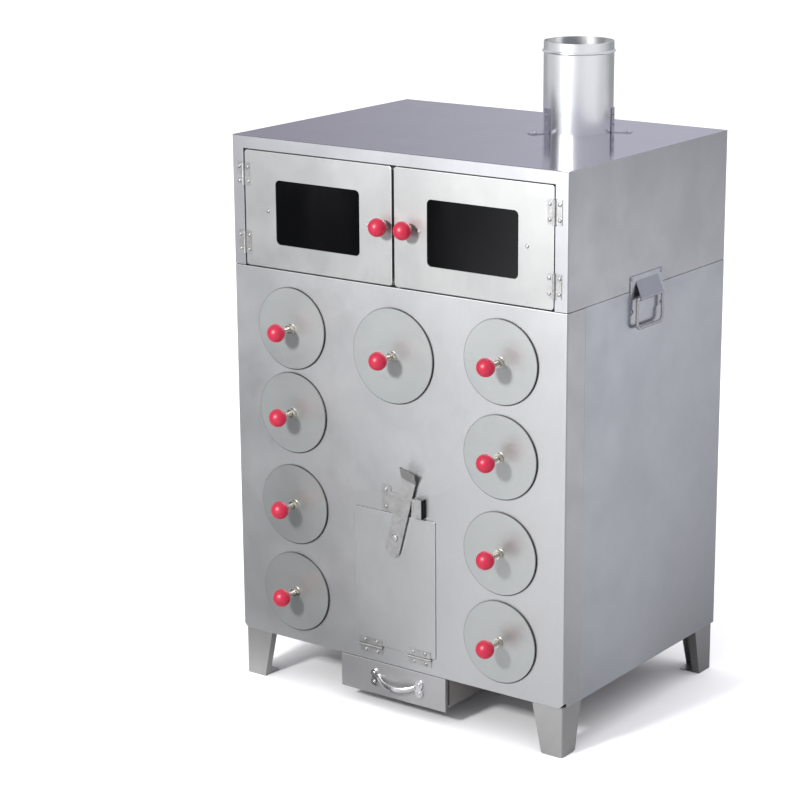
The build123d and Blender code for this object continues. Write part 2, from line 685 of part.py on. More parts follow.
def ball_knob(x, up, ball_out, bore_r, bore_depth, collar_r=0.0):
    """Ball knob with a flat and a blind bore facing the oven, on a collar down to the door."""
    with BuildPart() as knob:
        with Locations((x, FRONT_Y - ball_out, LEG_H + up)):
            Sphere(BALL_R)
        flat_out = ball_out - BALL_FLAT
        with BuildSketch(front_plane(flat_out, up)):
            with Locations((x, 0)):
                Circle(BALL_R)
        extrude(amount=-BALL_R, mode=Mode.SUBTRACT)
        if collar_r:
            with BuildSketch(front_plane(0, up)):
                with Locations((x, 0)):
                    Circle(collar_r)
            extrude(amount=flat_out + (BALL_R - collar_r) / 2)
        with BuildSketch(front_plane(0 if collar_r else flat_out, up)):
            with Locations((x, 0)):
                Circle(bore_r)
        extrude(amount=bore_depth, mode=Mode.SUBTRACT)
    return knob.part


for name, x, up, disc_r in DRAWERS:
    knob = ball_knob(x, up, DRAWER_BALL_OUT, STUD_R + PIN_FIT, STUD_IN_BALL + SEAT_GAP)
    knob.label = f"{name}_knob"
    export_step(knob, f"parts/{name}_knob.step")

# ---- fire door ----
with BuildPart() as fire_door:
    with BuildSketch(front_plane(SEAT_GAP)):
        middle, height = span(FIRE_DOOR_BOTTOM_UP, FIRE_DOOR_TOP_UP)
        with Locations((0, middle)):
            RectangleRounded(2 * FIRE_DOOR_HALF_W, height, FIRE_DOOR_CORNER_R)
    extrude(amount=FIRE_DOOR_T)
    front_edges = fire_door.faces().sort_by(Axis.Y)[0].edges()
    fillet(front_edges, radius=FIRE_DOOR_T * 0.4)
    # packed heat shield that fills the opening
    with BuildSketch(front_plane(SEAT_GAP)):
        middle, height = span(SHIELD_BOTTOM_UP, SHIELD_TOP_UP)
        with Locations((0, middle)):
            RectangleRounded(2 * SHIELD_HALF_W, height, FIRE_DOOR_CORNER_R)
    extrude(amount=-SHIELD_T)
    back_edges = fire_door.faces().sort_by(Axis.Y)[-1].edges()
    fillet(back_edges, radius=FIRE_DOOR_T)
    # boss, shoulder and peened head of the lever's pivot
    stack = (
        (PIVOT_BOSS_R, FIRE_FACE_OUT, LEVER_BACK_OUT - SEAT_GAP),
        (PIVOT_R, FIRE_FACE_OUT, LEVER_BACK_OUT + LEVER_T + SEAT_GAP),
        (PIVOT_HEAD_R, LEVER_BACK_OUT + LEVER_T + SEAT_GAP, LEVER_BACK_OUT + LEVER_T + PIVOT_HEAD_H),
    )
    for radius, start, end in stack:
        with BuildSketch(front_plane(start, LEVER_UP)):
            with Locations((LEVER_X, 0)):
                Circle(radius)
        extrude(amount=end - start)
    fillet(fire_door.edges().filter_by(GeomType.CIRCLE).group_by(Axis.Y)[0], radius=PIVOT_HEAD_H * 0.6)
    for section in FIRE_DOOR_HINGES:
        with BuildSketch(leaf_face(section, FIRE_AXIS_OUT - FIRE_FACE_OUT)):
            with Locations(*hinge_screws_at()):
                Circle(HOLE_R)
        extrude(amount=-HINGE_LEAF_T - FIRE_DOOR_T, mode=Mode.SUBTRACT)
fire_door.part.label = "fire_door"
export_step(fire_door.part, "parts/fire_door.step")

fire_fixed, fire_moving = knuckles(FIRE_HINGE_L)
FIRE_DOOR_DROP = FIRE_AXIS_OUT - FIRE_FACE_OUT
write_group(
    "fire_door_hinges",
    *[
        hinge_leaf(section, FIRE_HINGE_L, fire_moving, FIRE_DOOR_DROP, FIRE_KNUCKLE_R)
        for section in FIRE_DOOR_HINGES
    ],
    *[
        screw(leaf_face(section, FIRE_DOOR_DROP), hinge_screws_at(), HINGE_LEAF_T + FIRE_DOOR_T, tail=0)
        for section in FIRE_DOOR_HINGES
    ],
)

# ---- latch lever: a flat bar on the pivot, its upper end bent out as a finger tab ----
LEVER_DIR = Vector(sin(radians(LEVER_TILT)), 0, cos(radians(LEVER_TILT)))
PIVOT = Vector(LEVER_X, FRONT_Y, LEG_H + LEVER_UP)
LEVER_PLANE = Plane(origin=PIVOT, x_dir=LEVER_DIR, z_dir=(0, -1, 0))
LEVER_EDGE = Plane(origin=PIVOT, x_dir=LEVER_DIR, z_dir=-LEVER_PLANE.y_dir)
with BuildPart() as latch_lever:
    tab = radians(TAB_ANGLE)
    with BuildSketch(LEVER_EDGE):
        with BuildLine():
            FilletPolyline(
                (-LEVER_TAIL, LEVER_BACK_OUT),
                (LEVER_REACH, LEVER_BACK_OUT),
                (LEVER_REACH + TAB_L * cos(tab), LEVER_BACK_OUT + TAB_L * sin(tab)),
                radius=LEVER_T * 2,
            )
            offset(amount=LEVER_T, side=Side.LEFT)
        make_face()
    extrude(amount=LEVER_W / 2, both=True)
    with BuildSketch(LEVER_PLANE) as outline:
        middle, length = span(-LEVER_TAIL, LEVER_REACH + TAB_L * cos(tab))
        with Locations((middle, 0)):
            Rectangle(length, LEVER_W)
        ends = outline.vertices().group_by(Axis.X)
        fillet(ends[0], radius=LEVER_W * 0.49)
        fillet(ends[-1], radius=LEVER_CORNER_R)
    extrude(amount=LEVER_BACK_OUT * 2 + TAB_L, mode=Mode.INTERSECT)
    with BuildSketch(LEVER_PLANE):
        Circle(PIVOT_R + PIN_FIT)
    extrude(amount=LEVER_BACK_OUT + 2 * LEVER_T, mode=Mode.SUBTRACT)
latch_lever.part.label = "latch_lever"
export_step(latch_lever.part, "parts/latch_lever.step")

with BuildPart() as latch_keeper:
    plan = [
        (KEEPER_LEFT, 0),
        (KEEPER_RIGHT, 0),
        (KEEPER_RIGHT, -KEEPER_OUT),
        (KEEPER_RIGHT - KEEPER_LIP, -KEEPER_OUT),
    ]
    strap = folded(level(KEEPER_BOTTOM_UP), plan, KEEPER_T, Side.RIGHT)
    extrude(strap, amount=KEEPER_TOP_UP - KEEPER_BOTTOM_UP, dir=(0, 0, 1))
    with BuildSketch(front_plane(0)):
        middle, height = span(KEEPER_PLATE_BOTTOM_UP, KEEPER_PLATE_TOP_UP)
        with Locations((KEEPER_LEFT + KEEPER_PLATE_W / 2, middle)):
            RectangleRounded(KEEPER_PLATE_W, height, KEEPER_T)
    extrude(amount=KEEPER_T)
    with BuildSketch(front_plane(KEEPER_T)):
        with Locations(*KEEPER_SCREWS):
            Circle(HOLE_R)
    extrude(amount=-KEEPER_T, mode=Mode.SUBTRACT)
latch_keeper.part.label = "latch_keeper"
export_step(latch_keeper.part, "parts/latch_keeper.step")

# ---- ash drawer: folded front, open tray, bow handle ----
with BuildPart() as ash_drawer:
    front_h = ASH_BOTTOM_DOWN - ASH_TOP_DOWN
    front_mid = -(ASH_BOTTOM_DOWN + ASH_TOP_DOWN) / 2
    with BuildSketch(front_plane(0, front_mid)):
        with Locations((ASH_X, 0)):
            Rectangle(ASH_FRONT_W, front_h)
    extrude(amount=-ASH_EDGE)
    outer_edges = ash_drawer.faces().sort_by(Axis.Y)[0].edges()
    fillet(outer_edges, radius=BEND_R / 2)
    with BuildSketch(front_plane(-SHEET, front_mid)):
        with Locations((ASH_X, 0)):
            Rectangle(ASH_FRONT_W - 2 * SHEET, front_h - 2 * SHEET)
    extrude(amount=-ASH_EDGE, mode=Mode.SUBTRACT)
    tray_h = TRAY_BOTTOM_DOWN - TRAY_TOP_DOWN
    tray_mid = -(TRAY_BOTTOM_DOWN + TRAY_TOP_DOWN) / 2
    with BuildSketch(front_plane(-SHEET, tray_mid)):
        with Locations((ASH_X, 0)):
            Rectangle(TRAY_W, tray_h)
    extrude(amount=-TRAY_L)
    with BuildSketch(level(-TRAY_TOP_DOWN)):
        middle, depth = span(2 * SHEET, SHEET + TRAY_L - SHEET)
        with Locations((ASH_X, middle)):
            Rectangle(TRAY_W - 2 * SHEET, depth)
    extrude(amount=SHEET - tray_h, mode=Mode.SUBTRACT)
    with BuildSketch(front_plane(0, -BOW_DOWN)):
        with Locations((BOW_X, 0)):
            with GridLocations(2 * BOW_FOOT_X, BOW_SCREW_SPAN, 2, 2):
                Circle(HOLE_R)
    extrude(amount=-3 * SHEET, mode=Mode.SUBTRACT)
ash_drawer.part.label = "ash_drawer"
export_step(ash_drawer.part, "parts/ash_drawer.step")

with BuildPart() as ash_drawer_handle:
    # each foot is a pair of lobes round the screws with a waist between them
    with BuildSketch(front_plane(0, -BOW_DOWN)) as feet:
        with Locations((BOW_X - BOW_FOOT_X, 0), (BOW_X + BOW_FOOT_X, 0)):
            with Locations((0, BOW_SCREW_SPAN / 2), (0, -BOW_SCREW_SPAN / 2)):
                Circle(BOW_LOBE_R)
        for side in (-1, 1):
            with Locations((BOW_X + side * (BOW_FOOT_X - BOW_NECK / 2), 0)):
                Ellipse(BOW_NECK, BOW_LOBE_R)
    extrude(amount=BOW_FOOT_T)
    fillet(ash_drawer_handle.faces().sort_by(Axis.Y)[0].edges(), radius=BOW_FOOT_T / 4)
    # the grip bows out and droops between the feet
    root_x = BOW_FOOT_X - BOW_NECK
    grip_y = FRONT_Y - BOW_FOOT_T / 2
    with BuildLine() as bow:
        ThreePointArc(
            (BOW_X - root_x, grip_y, LEG_H - BOW_DOWN),
            (BOW_X, FRONT_Y - BOW_OUT + BOW_GRIP_T / 2, LEG_H - BOW_DOWN - BOW_DROOP),
            (BOW_X + root_x, grip_y, LEG_H - BOW_DOWN),
        )
    start = Plane(origin=bow.line @ 0, z_dir=bow.line % 0, x_dir=(0, 0, 1))
    with BuildSketch(start):
        Ellipse(BOW_GRIP_W / 2, BOW_GRIP_T / 2)
    sweep(path=bow.line)
    with BuildSketch(front_plane(0, -BOW_DOWN)):
        with Locations((BOW_X, 0)):
            Rectangle(2 * BOW_FOOT_X, 4 * BOW_LOBE_R)
    extrude(amount=-BOW_GRIP_W, mode=Mode.SUBTRACT)
    with BuildSketch(front_plane(0, -BOW_DOWN)):
        with Locations((BOW_X, 0)):
            with GridLocations(2 * BOW_FOOT_X, BOW_SCREW_SPAN, 2, 2):
                Circle(HOLE_R)
    extrude(amount=BOW_OUT, mode=Mode.SUBTRACT)
bow_screws = [
    (BOW_X + side * BOW_FOOT_X, end * BOW_SCREW_SPAN / 2) for side in (-1, 1) for end in (-1, 1)
]
write_group(
    "ash_drawer_handle",
    ash_drawer_handle.part,
    screw(front_plane(BOW_FOOT_T, -BOW_DOWN), bow_screws, BOW_FOOT_T + 2 * SHEET),
)

# ---- legs: folded sheet, two faces tapering to the foot, lips turned in on their free edges ----
def leg_section(plane, width):
    """Outer corner at the plane's origin, faces along +x and +y, lips turned in."""
    with BuildSketch(plane) as section:
        with BuildLine():
            Polyline(
                (width, LEG_LIP),
                (width, 0),
                (0, 0),
                (0, width),
                (LEG_LIP, width),
                (LEG_LIP, width - LEG_T),
                (LEG_T, width - LEG_T),
                (LEG_T, LEG_T),
                (width - LEG_T, LEG_T),
                (width - LEG_T, LEG_LIP),
                close=True,
            )
        make_face()
    return section.sketch


# the section is the same about its diagonal, so each leg is a quarter turn from the next
LEGS = (
    ("front_left_leg", (-1, LEG_INSET), (1, 0, 0)),
    ("front_right_leg", (1, LEG_INSET), (0, 1, 0)),
    ("rear_right_leg", (1, BODY_D - LEG_INSET), (-1, 0, 0)),
    ("rear_left_leg", (-1, BODY_D - LEG_INSET), (0, -1, 0)),
)
for name, (side, back), along in LEGS:
    foot = Plane(origin=(side * (HALF_W - LEG_INSET), FRONT_Y + back, 0), x_dir=along, z_dir=(0, 0, 1))
    head = foot.offset(LEG_H - LEG_T)
    with BuildPart() as leg:
        loft([leg_section(foot.offset(LEG_T), LEG_FOOT_W), leg_section(head, LEG_TOP_W)], ruled=True)
        upright = leg.edges().filter_by(lambda edge: edge.length > LEG_H / 2)
        fillet(upright.sort_by_distance(head.origin)[0], radius=LEG_BEND_R)
        for plane, width in ((foot, LEG_FOOT_W), (head, LEG_TOP_W)):
            with BuildSketch(plane):
                with Locations((width / 2, width / 2)):
                    RectangleRounded(width, width, LEG_BEND_R)
            extrude(amount=LEG_T)
        with BuildSketch(foot):
            with Locations((LEG_FOOT_W / 2, LEG_FOOT_W / 2)):
                Circle(FOOT_HOLE_R)
        extrude(amount=LEG_T, mode=Mode.SUBTRACT)
        with BuildSketch(level(0)):
            with Locations(*[(x, y) for x, y in LEG_SCREWS if x * side > 0 and abs(y - back) < LEG_TOP_W]):
                Circle(HOLE_R)
        extrude(amount=-LEG_T, mode=Mode.SUBTRACT)
    leg.part.label = name
    export_step(leg.part, f"parts/{name}.step")

# ---- warming cabinet ----
with BuildPart() as warmer_floor:
    floor_half = HALF_W - SHEET - SEAT_GAP
    stop_y = DOOR_DEPTH + SEAT_GAP * 3
    with BuildSketch(level(LOWER_H)):
        middle, depth = span(stop_y, BODY_D - SHEET - SEAT_GAP)
        with Locations((0, middle)):
            Rectangle(2 * floor_half, depth)
        with Locations((FLUE_X, FLUE_BACK)):
            Circle(FLUE_R + FLUE_HOLE_GAP, mode=Mode.SUBTRACT)
        # slots that let the warm air of the body into the cabinet
        with Locations((-FLUE_X, FLUE_BACK)):
            with GridLocations(VENT_PITCH, 0, VENTS, 1):
                SlotOverall(VENT_L, VENT_W, rotation=90, mode=Mode.SUBTRACT)
    extrude(amount=SHEET)
    # front lip: the stop behind the doors
    with BuildSketch(level(LOWER_H)):
        with Locations((0, stop_y + SHEET / 2)):
            Rectangle(2 * (DOOR_EDGE_X - DOOR_LIP), SHEET)
    extrude(amount=STOP_H)
warmer_floor.part.label = "warmer_floor"
export_step(warmer_floor.part, "parts/warmer_floor.step")

opening_half = DOOR_EDGE_X + DOOR_GAP
opening_top = DOOR_TOP_UP + DOOR_GAP
with BuildPart() as upper_casing:
    back_edge = BODY_D - SHEET
    plan = [
        (-HALF_W + RETURN, back_edge),
        (-HALF_W, back_edge),
        (-HALF_W, 0),
        (HALF_W, 0),
        (HALF_W, back_edge),
        (HALF_W - RETURN, back_edge),
    ]
    casing_h = UPPER_H - 2 * SHEET
    extrude(folded(level(LOWER_H + SHEET), plan, SHEET, Side.LEFT), amount=casing_h, dir=(0, 0, 1))
    # bottom returns on both sides, lying on the cabinet floor
    with BuildSketch(level(LOWER_H + SHEET)):
        for side in (-1, 1):
            middle, width = span(HALF_W - RETURN, HALF_W - SHEET / 2)
            along, depth = span(DOOR_DEPTH + RETURN, back_edge - SHEET / 2)
            with Locations((side * middle, along)):
                Rectangle(width, depth)
    extrude(amount=SHEET)
    with BuildSketch(front_plane(0)):
        middle, height = span(LOWER_H, opening_top)
        with Locations((0, middle)):
            Rectangle(2 * opening_half, height)
    extrude(amount=-2 * SHEET, mode=Mode.SUBTRACT)
    # jambs and head folded in round the opening, with a narrow stop behind the doors
    jamb_low = LOWER_H + SHEET
    for inner_half, inner_top, start, end in (
        (opening_half, opening_top, SHEET / 2, DOOR_DEPTH + STOP_GAP + SHEET),
        (DOOR_EDGE_X - STOP_W, DOOR_TOP_UP - STOP_W, DOOR_DEPTH + STOP_GAP, DOOR_DEPTH + STOP_GAP + SHEET),
    ):
        with BuildSketch(front_plane(-start)):
            middle, height = span(jamb_low, opening_top + SHEET)
            with Locations((0, middle)):
                Rectangle(2 * (opening_half + SHEET), height)
            middle, height = span(jamb_low - SHEET, inner_top)
            with Locations((0, middle)):
                Rectangle(2 * inner_half, height, mode=Mode.SUBTRACT)
        extrude(amount=start - end)
    for section in DOOR_BODY_HINGES:
        with BuildSketch(leaf_face(section, HINGE_AXIS_OUT)):
            with Locations(*hinge_screws_at()):
                Circle(HOLE_R)
        extrude(amount=-HINGE_LEAF_T - SHEET, mode=Mode.SUBTRACT)
    for side in (-1, 1):
        with BuildSketch(side_plane(side, 0)):
            with Locations(*[(side * y, up) for y, up in HANDLE_RIVETS if up > LOWER_H]):
                Circle(HOLE_R)
        extrude(amount=-SHEET, mode=Mode.SUBTRACT)
upper_casing.part.label = "upper_casing"
export_step(upper_casing.part, "parts/upper_casing.step")

with BuildPart() as warmer_back_panel:
    with BuildSketch(front_plane(SHEET - BODY_D)):
        middle, height = span(LOWER_H + SHEET, UPPER_H + LOWER_H - SHEET)
        with Locations((0, middle)):
            RectangleRounded(BODY_W - 2 * SHEET, height, BEND_R)
    extrude(amount=-SHEET)
warmer_back_panel.part.label = "warmer_back_panel"
export_step(warmer_back_panel.part, "parts/warmer_back_panel.step")

with BuildPart() as top_cover:
    with BuildSketch(Plane.XY.offset(COVER_Z)):
        with Locations((0, FRONT_Y + BODY_D / 2)):
            RectangleRounded(BODY_W, BODY_D, BEND_R)
    extrude(amount=SHEET)
    fillet(top_cover.faces().sort_by(Axis.Z)[-1].edges(), radius=SHEET * 0.8)
    # lips folded down inside the casing
    with BuildSketch(Plane.XY.offset(COVER_Z)):
        lip_w = BODY_W - 2 * (SHEET + SEAT_GAP)
        near, far = SHEET + SEAT_GAP, BODY_D - 2 * SHEET - SEAT_GAP
        for inset, mode in ((0, Mode.ADD), (SHEET, Mode.SUBTRACT)):
            middle, depth = span(near + inset, far - inset)
            with Locations((0, FRONT_Y + middle)):
                Rectangle(lip_w - 2 * inset, depth, mode=mode)
    extrude(amount=-COVER_LIP)
    with BuildSketch(Plane.XY.offset(TOP_Z)):
        with Locations((FLUE_X, FLUE_Y)):
            Circle(FLUE_R + FLUE_HOLE_GAP)
    extrude(amount=-SHEET, mode=Mode.SUBTRACT)
top_cover.part.label = "top_cover"
export_step(top_cover.part, "parts/top_cover.step")


def bracket_plane(angle):
    """Upright plane through the flue's axis and a bracket: x out from the axis, y up from the cover."""
    out = Vector(cos(radians(angle)), sin(radians(angle)), 0)
    return Plane(origin=(FLUE_X, FLUE_Y, TOP_Z), x_dir=out, z_dir=out.cross(Vector(0, 0, 1)))


def bracket_faces(angle):
    """Outer faces of a bracket's upright and of its foot, as planes."""
    plane = bracket_plane(angle)
    upright = Plane(
        origin=plane.origin + plane.x_dir * (FLUE_R + BRACKET_T), x_dir=-plane.z_dir, z_dir=plane.x_dir
    )
    foot = Plane(
        origin=plane.origin + Vector(0, 0, BRACKET_T), x_dir=plane.x_dir, z_dir=(0, 0, 1)
    )
    return upright, foot


BRACKET_RIVETS = [(0, up) for up in BRACKET_RIVET_UPS]
FOOT_RIVETS = [(FLUE_R + BRACKET_FOOT_RIVET, 0)]

with BuildPart() as flue_pipe:
    pipe_low = -UPPER_H - FLUE_TAIL
    bead_up = FLUE_UP - FLUE_BEAD_DOWN
    axis_plane = Plane(origin=(FLUE_X, FLUE_Y, TOP_Z), x_dir=(1, 0, 0), z_dir=(0, -1, 0))
    with BuildSketch(axis_plane):
        with BuildLine():
            Line((FLUE_R, pipe_low), (FLUE_R, bead_up - FLUE_BEAD_R))
            ThreePointArc(
                (FLUE_R, bead_up - FLUE_BEAD_R),
                (FLUE_R + FLUE_BEAD_R, bead_up),
                (FLUE_R, bead_up + FLUE_BEAD_R),
            )
            Line((FLUE_R, bead_up + FLUE_BEAD_R), (FLUE_R, FLUE_UP))
            offset(amount=SHEET, side=Side.LEFT)
        make_face()
        # collar that stands on the cabinet floor
        low, high = SHEET - UPPER_H, 2 * SHEET - UPPER_H
        with Locations(((FLUE_R + FLUE_COLLAR_R - SHEET) / 2, (low + high) / 2)):
            Rectangle(FLUE_COLLAR_R - FLUE_R + SHEET, SHEET)
    revolve(axis=Axis((FLUE_X, FLUE_Y, 0), (0, 0, 1)))
    for angle in BRACKET_ANGLES:
        upright, foot = bracket_faces(angle)
        with BuildSketch(upright):
            with Locations(*BRACKET_RIVETS):
                Circle(HOLE_R)
        extrude(amount=-BRACKET_T - 3 * SHEET, mode=Mode.SUBTRACT)
flue_pipe.part.label = "flue_pipe"
export_step(flue_pipe.part, "parts/flue_pipe.step")

with BuildPart() as flue_brackets:
    for angle in BRACKET_ANGLES:
        plan = [(FLUE_R, BRACKET_H), (FLUE_R, 0), (FLUE_R + BRACKET_FOOT, 0)]
        profile = folded(bracket_plane(angle), plan, BRACKET_T, Side.LEFT)
        extrude(profile, amount=BRACKET_W / 2, both=True)
    for angle in BRACKET_ANGLES:
        upright, foot = bracket_faces(angle)
        for plane, rivets in ((upright, BRACKET_RIVETS), (foot, FOOT_RIVETS)):
            with BuildSketch(plane):
                with Locations(*rivets):
                    Circle(HOLE_R)
            extrude(amount=-BRACKET_T, mode=Mode.SUBTRACT)
flue_rivets = [
    rivets
    for angle in BRACKET_ANGLES
    for rivets in (
        screw(bracket_faces(angle)[0], BRACKET_RIVETS, BRACKET_T, tail=2 * SHEET),
        screw(bracket_faces(angle)[1], FOOT_RIVETS, BRACKET_T, tail=0),
    )
]
write_group("flue_brackets", flue_brackets.part, *flue_rivets)

# ---- cabinet doors ----
door_fixed, door_moving = knuckles(HINGE_L)
CLIP_GRIP = 2 * CLIP_T  # door sheet and clip foot, both pinched by the screw
for name, side, knob_x in (("left_door", -1, LEFT_KNOB_X), ("right_door", 1, RIGHT_KNOB_X)):
    near, far = DOOR_HALF_GAP, DOOR_EDGE_X
    door_mid, door_w = span(near, far)
    up_mid, door_h = span(DOOR_BOTTOM_UP, DOOR_TOP_UP)
    clip_screws = [(side * x, WINDOW_UP) for x in CLIP_SCREW_X]
    hinges = [door_hinge(side, up, -side) for up in HINGE_UPS]
    with BuildPart() as door:
        with BuildSketch(front_plane(0, up_mid)):
            with Locations((side * door_mid, 0)):
                RectangleRounded(door_w, door_h, DOOR_CORNER_R)
        extrude(amount=-DOOR_DEPTH)
        fillet(door.faces().sort_by(Axis.Y)[0].edges(), radius=BEND_R / 2)
        # hollow pan, its edges turned in again at the back
        with BuildSketch(front_plane(-SHEET, up_mid)):
            with Locations((side * door_mid, 0)):
                RectangleRounded(door_w - 2 * SHEET, door_h - 2 * SHEET, DOOR_CORNER_R - SHEET)
        extrude(amount=2 * SHEET - DOOR_DEPTH, mode=Mode.SUBTRACT)
        with BuildSketch(front_plane(-SHEET, up_mid)):
            with Locations((side * door_mid, 0)):
                RectangleRounded(door_w - 2 * DOOR_LIP, door_h - 2 * DOOR_LIP, DOOR_CORNER_R)
        extrude(amount=-DOOR_DEPTH, mode=Mode.SUBTRACT)
        with BuildSketch(front_plane(0, WINDOW_UP)):
            with Locations((side * WINDOW_X, 0)):
                RectangleRounded(WINDOW_W, WINDOW_H, WINDOW_CORNER_R)
        extrude(amount=-2 * SHEET, mode=Mode.SUBTRACT)
        with BuildSketch(front_plane(0)):
            with Locations(*clip_screws):
                Circle(HOLE_R)
            with Locations((knob_x, KNOB_UP)):
                Circle(KNOB_SCREW_R + SCREW_HOLE_GAP)
        extrude(amount=-2 * SHEET, mode=Mode.SUBTRACT)
        for section in hinges:
            with BuildSketch(leaf_face(section, HINGE_AXIS_OUT)):
                with Locations(*hinge_screws_at()):
                    Circle(HOLE_R)
            extrude(amount=-HINGE_LEAF_T - SHEET, mode=Mode.SUBTRACT)
    door.part.label = f"{name}_panel"
    export_step(door.part, f"parts/{name}_panel.step")

    with BuildPart() as glass:
        with BuildSketch(front_plane(-SHEET, WINDOW_UP)):
            with Locations((side * WINDOW_X, 0)):
                RectangleRounded(WINDOW_W + 2 * GLASS_LAP, WINDOW_H + 2 * GLASS_LAP, WINDOW_CORNER_R)
        extrude(amount=-GLASS_T)
    glass.part.label = f"{name}_glass"
    export_step(glass.part, f"parts/{name}_glass.step")

    # a cranked clip at each end of the glass: foot on the door, tongue over the glass
    clips = []
    for screw_x, inward in zip(CLIP_SCREW_X, (1, -1)):
        glass_edge = WINDOW_X - inward * (WINDOW_W / 2 + GLASS_LAP)
        root = glass_edge - inward * SEAT_GAP
        thicken = Side.LEFT if side * inward > 0 else Side.RIGHT
        outline = [
            (side * (screw_x - inward * CLIP_FOOT), SHEET),
            (side * root, SHEET),
            (side * root, SHEET + GLASS_T),
            (side * (root + inward * CLIP_REACH), SHEET + GLASS_T),
        ]
        with BuildPart() as clip:
            with BuildSketch(level(WINDOW_UP)):
                with BuildLine():
                    Polyline(*outline)
                    offset(amount=CLIP_T, side=thicken, kind=Kind.INTERSECTION)
                make_face()
            extrude(amount=CLIP_H / 2, both=True)
            with BuildSketch(front_plane(-SHEET)):
                with Locations((side * screw_x, WINDOW_UP)):
                    Circle(HOLE_R)
            extrude(amount=-CLIP_T, mode=Mode.SUBTRACT)
        clips.append(clip.part)
    write_group(f"{name}_glass_clips", *clips, screw(front_plane(0), clip_screws, CLIP_GRIP, tail=SHEET))

    leaves = [hinge_leaf(section, HINGE_L, door_moving, HINGE_AXIS_OUT, KNUCKLE_R) for section in hinges]
    leaf_screws = [
        screw(leaf_face(section, HINGE_AXIS_OUT), hinge_screws_at(), HINGE_LEAF_T + SHEET)
        for section in hinges
    ]
    write_group(f"{name}_hinges", *leaves, *leaf_screws)

    knob = ball_knob(
        knob_x, KNOB_UP, DOOR_BALL_OUT, KNOB_SCREW_R + PIN_FIT, KNOB_SCREW_IN + SEAT_GAP, COLLAR_R
    )
    inside = Plane(origin=(knob_x, FRONT_Y + SHEET, LEG_H + KNOB_UP), x_dir=(1, 0, 0), z_dir=(0, 1, 0))
    with BuildPart() as knob_screw:
        with BuildSketch(inside.offset(-KNOB_SCREW_IN - SHEET)):
            Circle(KNOB_SCREW_R)
        extrude(amount=KNOB_SCREW_IN + SHEET)
        with BuildSketch(inside):
            Circle(2 * KNOB_SCREW_R)
        extrude(amount=2 * SCREW_HEAD_H)
    write_group(f"{name}_knob", knob, knob_screw.part)

# ---- fixed hinge leaves, pins and screws ----
write_group(
    "hinge_base_leaves",
    *[hinge_leaf(section, HINGE_L, door_fixed, HINGE_AXIS_OUT, KNUCKLE_R) for section in DOOR_BODY_HINGES],
    *[
        hinge_leaf(section, FIRE_HINGE_L, fire_fixed, FIRE_AXIS_OUT, FIRE_KNUCKLE_R)
        for section in FIRE_BODY_HINGES
    ],
)
write_group(
    "hinge_pins",
    *[hinge_pin(section, HINGE_L, KNUCKLE_R) for section in DOOR_BODY_HINGES],
    *[hinge_pin(section, FIRE_HINGE_L, FIRE_KNUCKLE_R) for section in FIRE_BODY_HINGES],
)
leg_screw_plane = Plane(origin=(0, FRONT_Y, LEG_H - LEG_T), x_dir=(1, 0, 0), z_dir=(0, 0, -1))
write_group(
    "panel_screws",
    *[
        screw(leaf_face(section, HINGE_AXIS_OUT), hinge_screws_at(), HINGE_LEAF_T + SHEET)
        for section in DOOR_BODY_HINGES
    ],
    *[
        screw(leaf_face(section, FIRE_AXIS_OUT), hinge_screws_at(), HINGE_LEAF_T + SHEET)
        for section in FIRE_BODY_HINGES
    ],
    screw(front_plane(KEEPER_T), KEEPER_SCREWS, KEEPER_T + SHEET),
    screw(leg_screw_plane, [(x, -y) for x, y in LEG_SCREWS], LEG_T + 2 * SHEET),
)

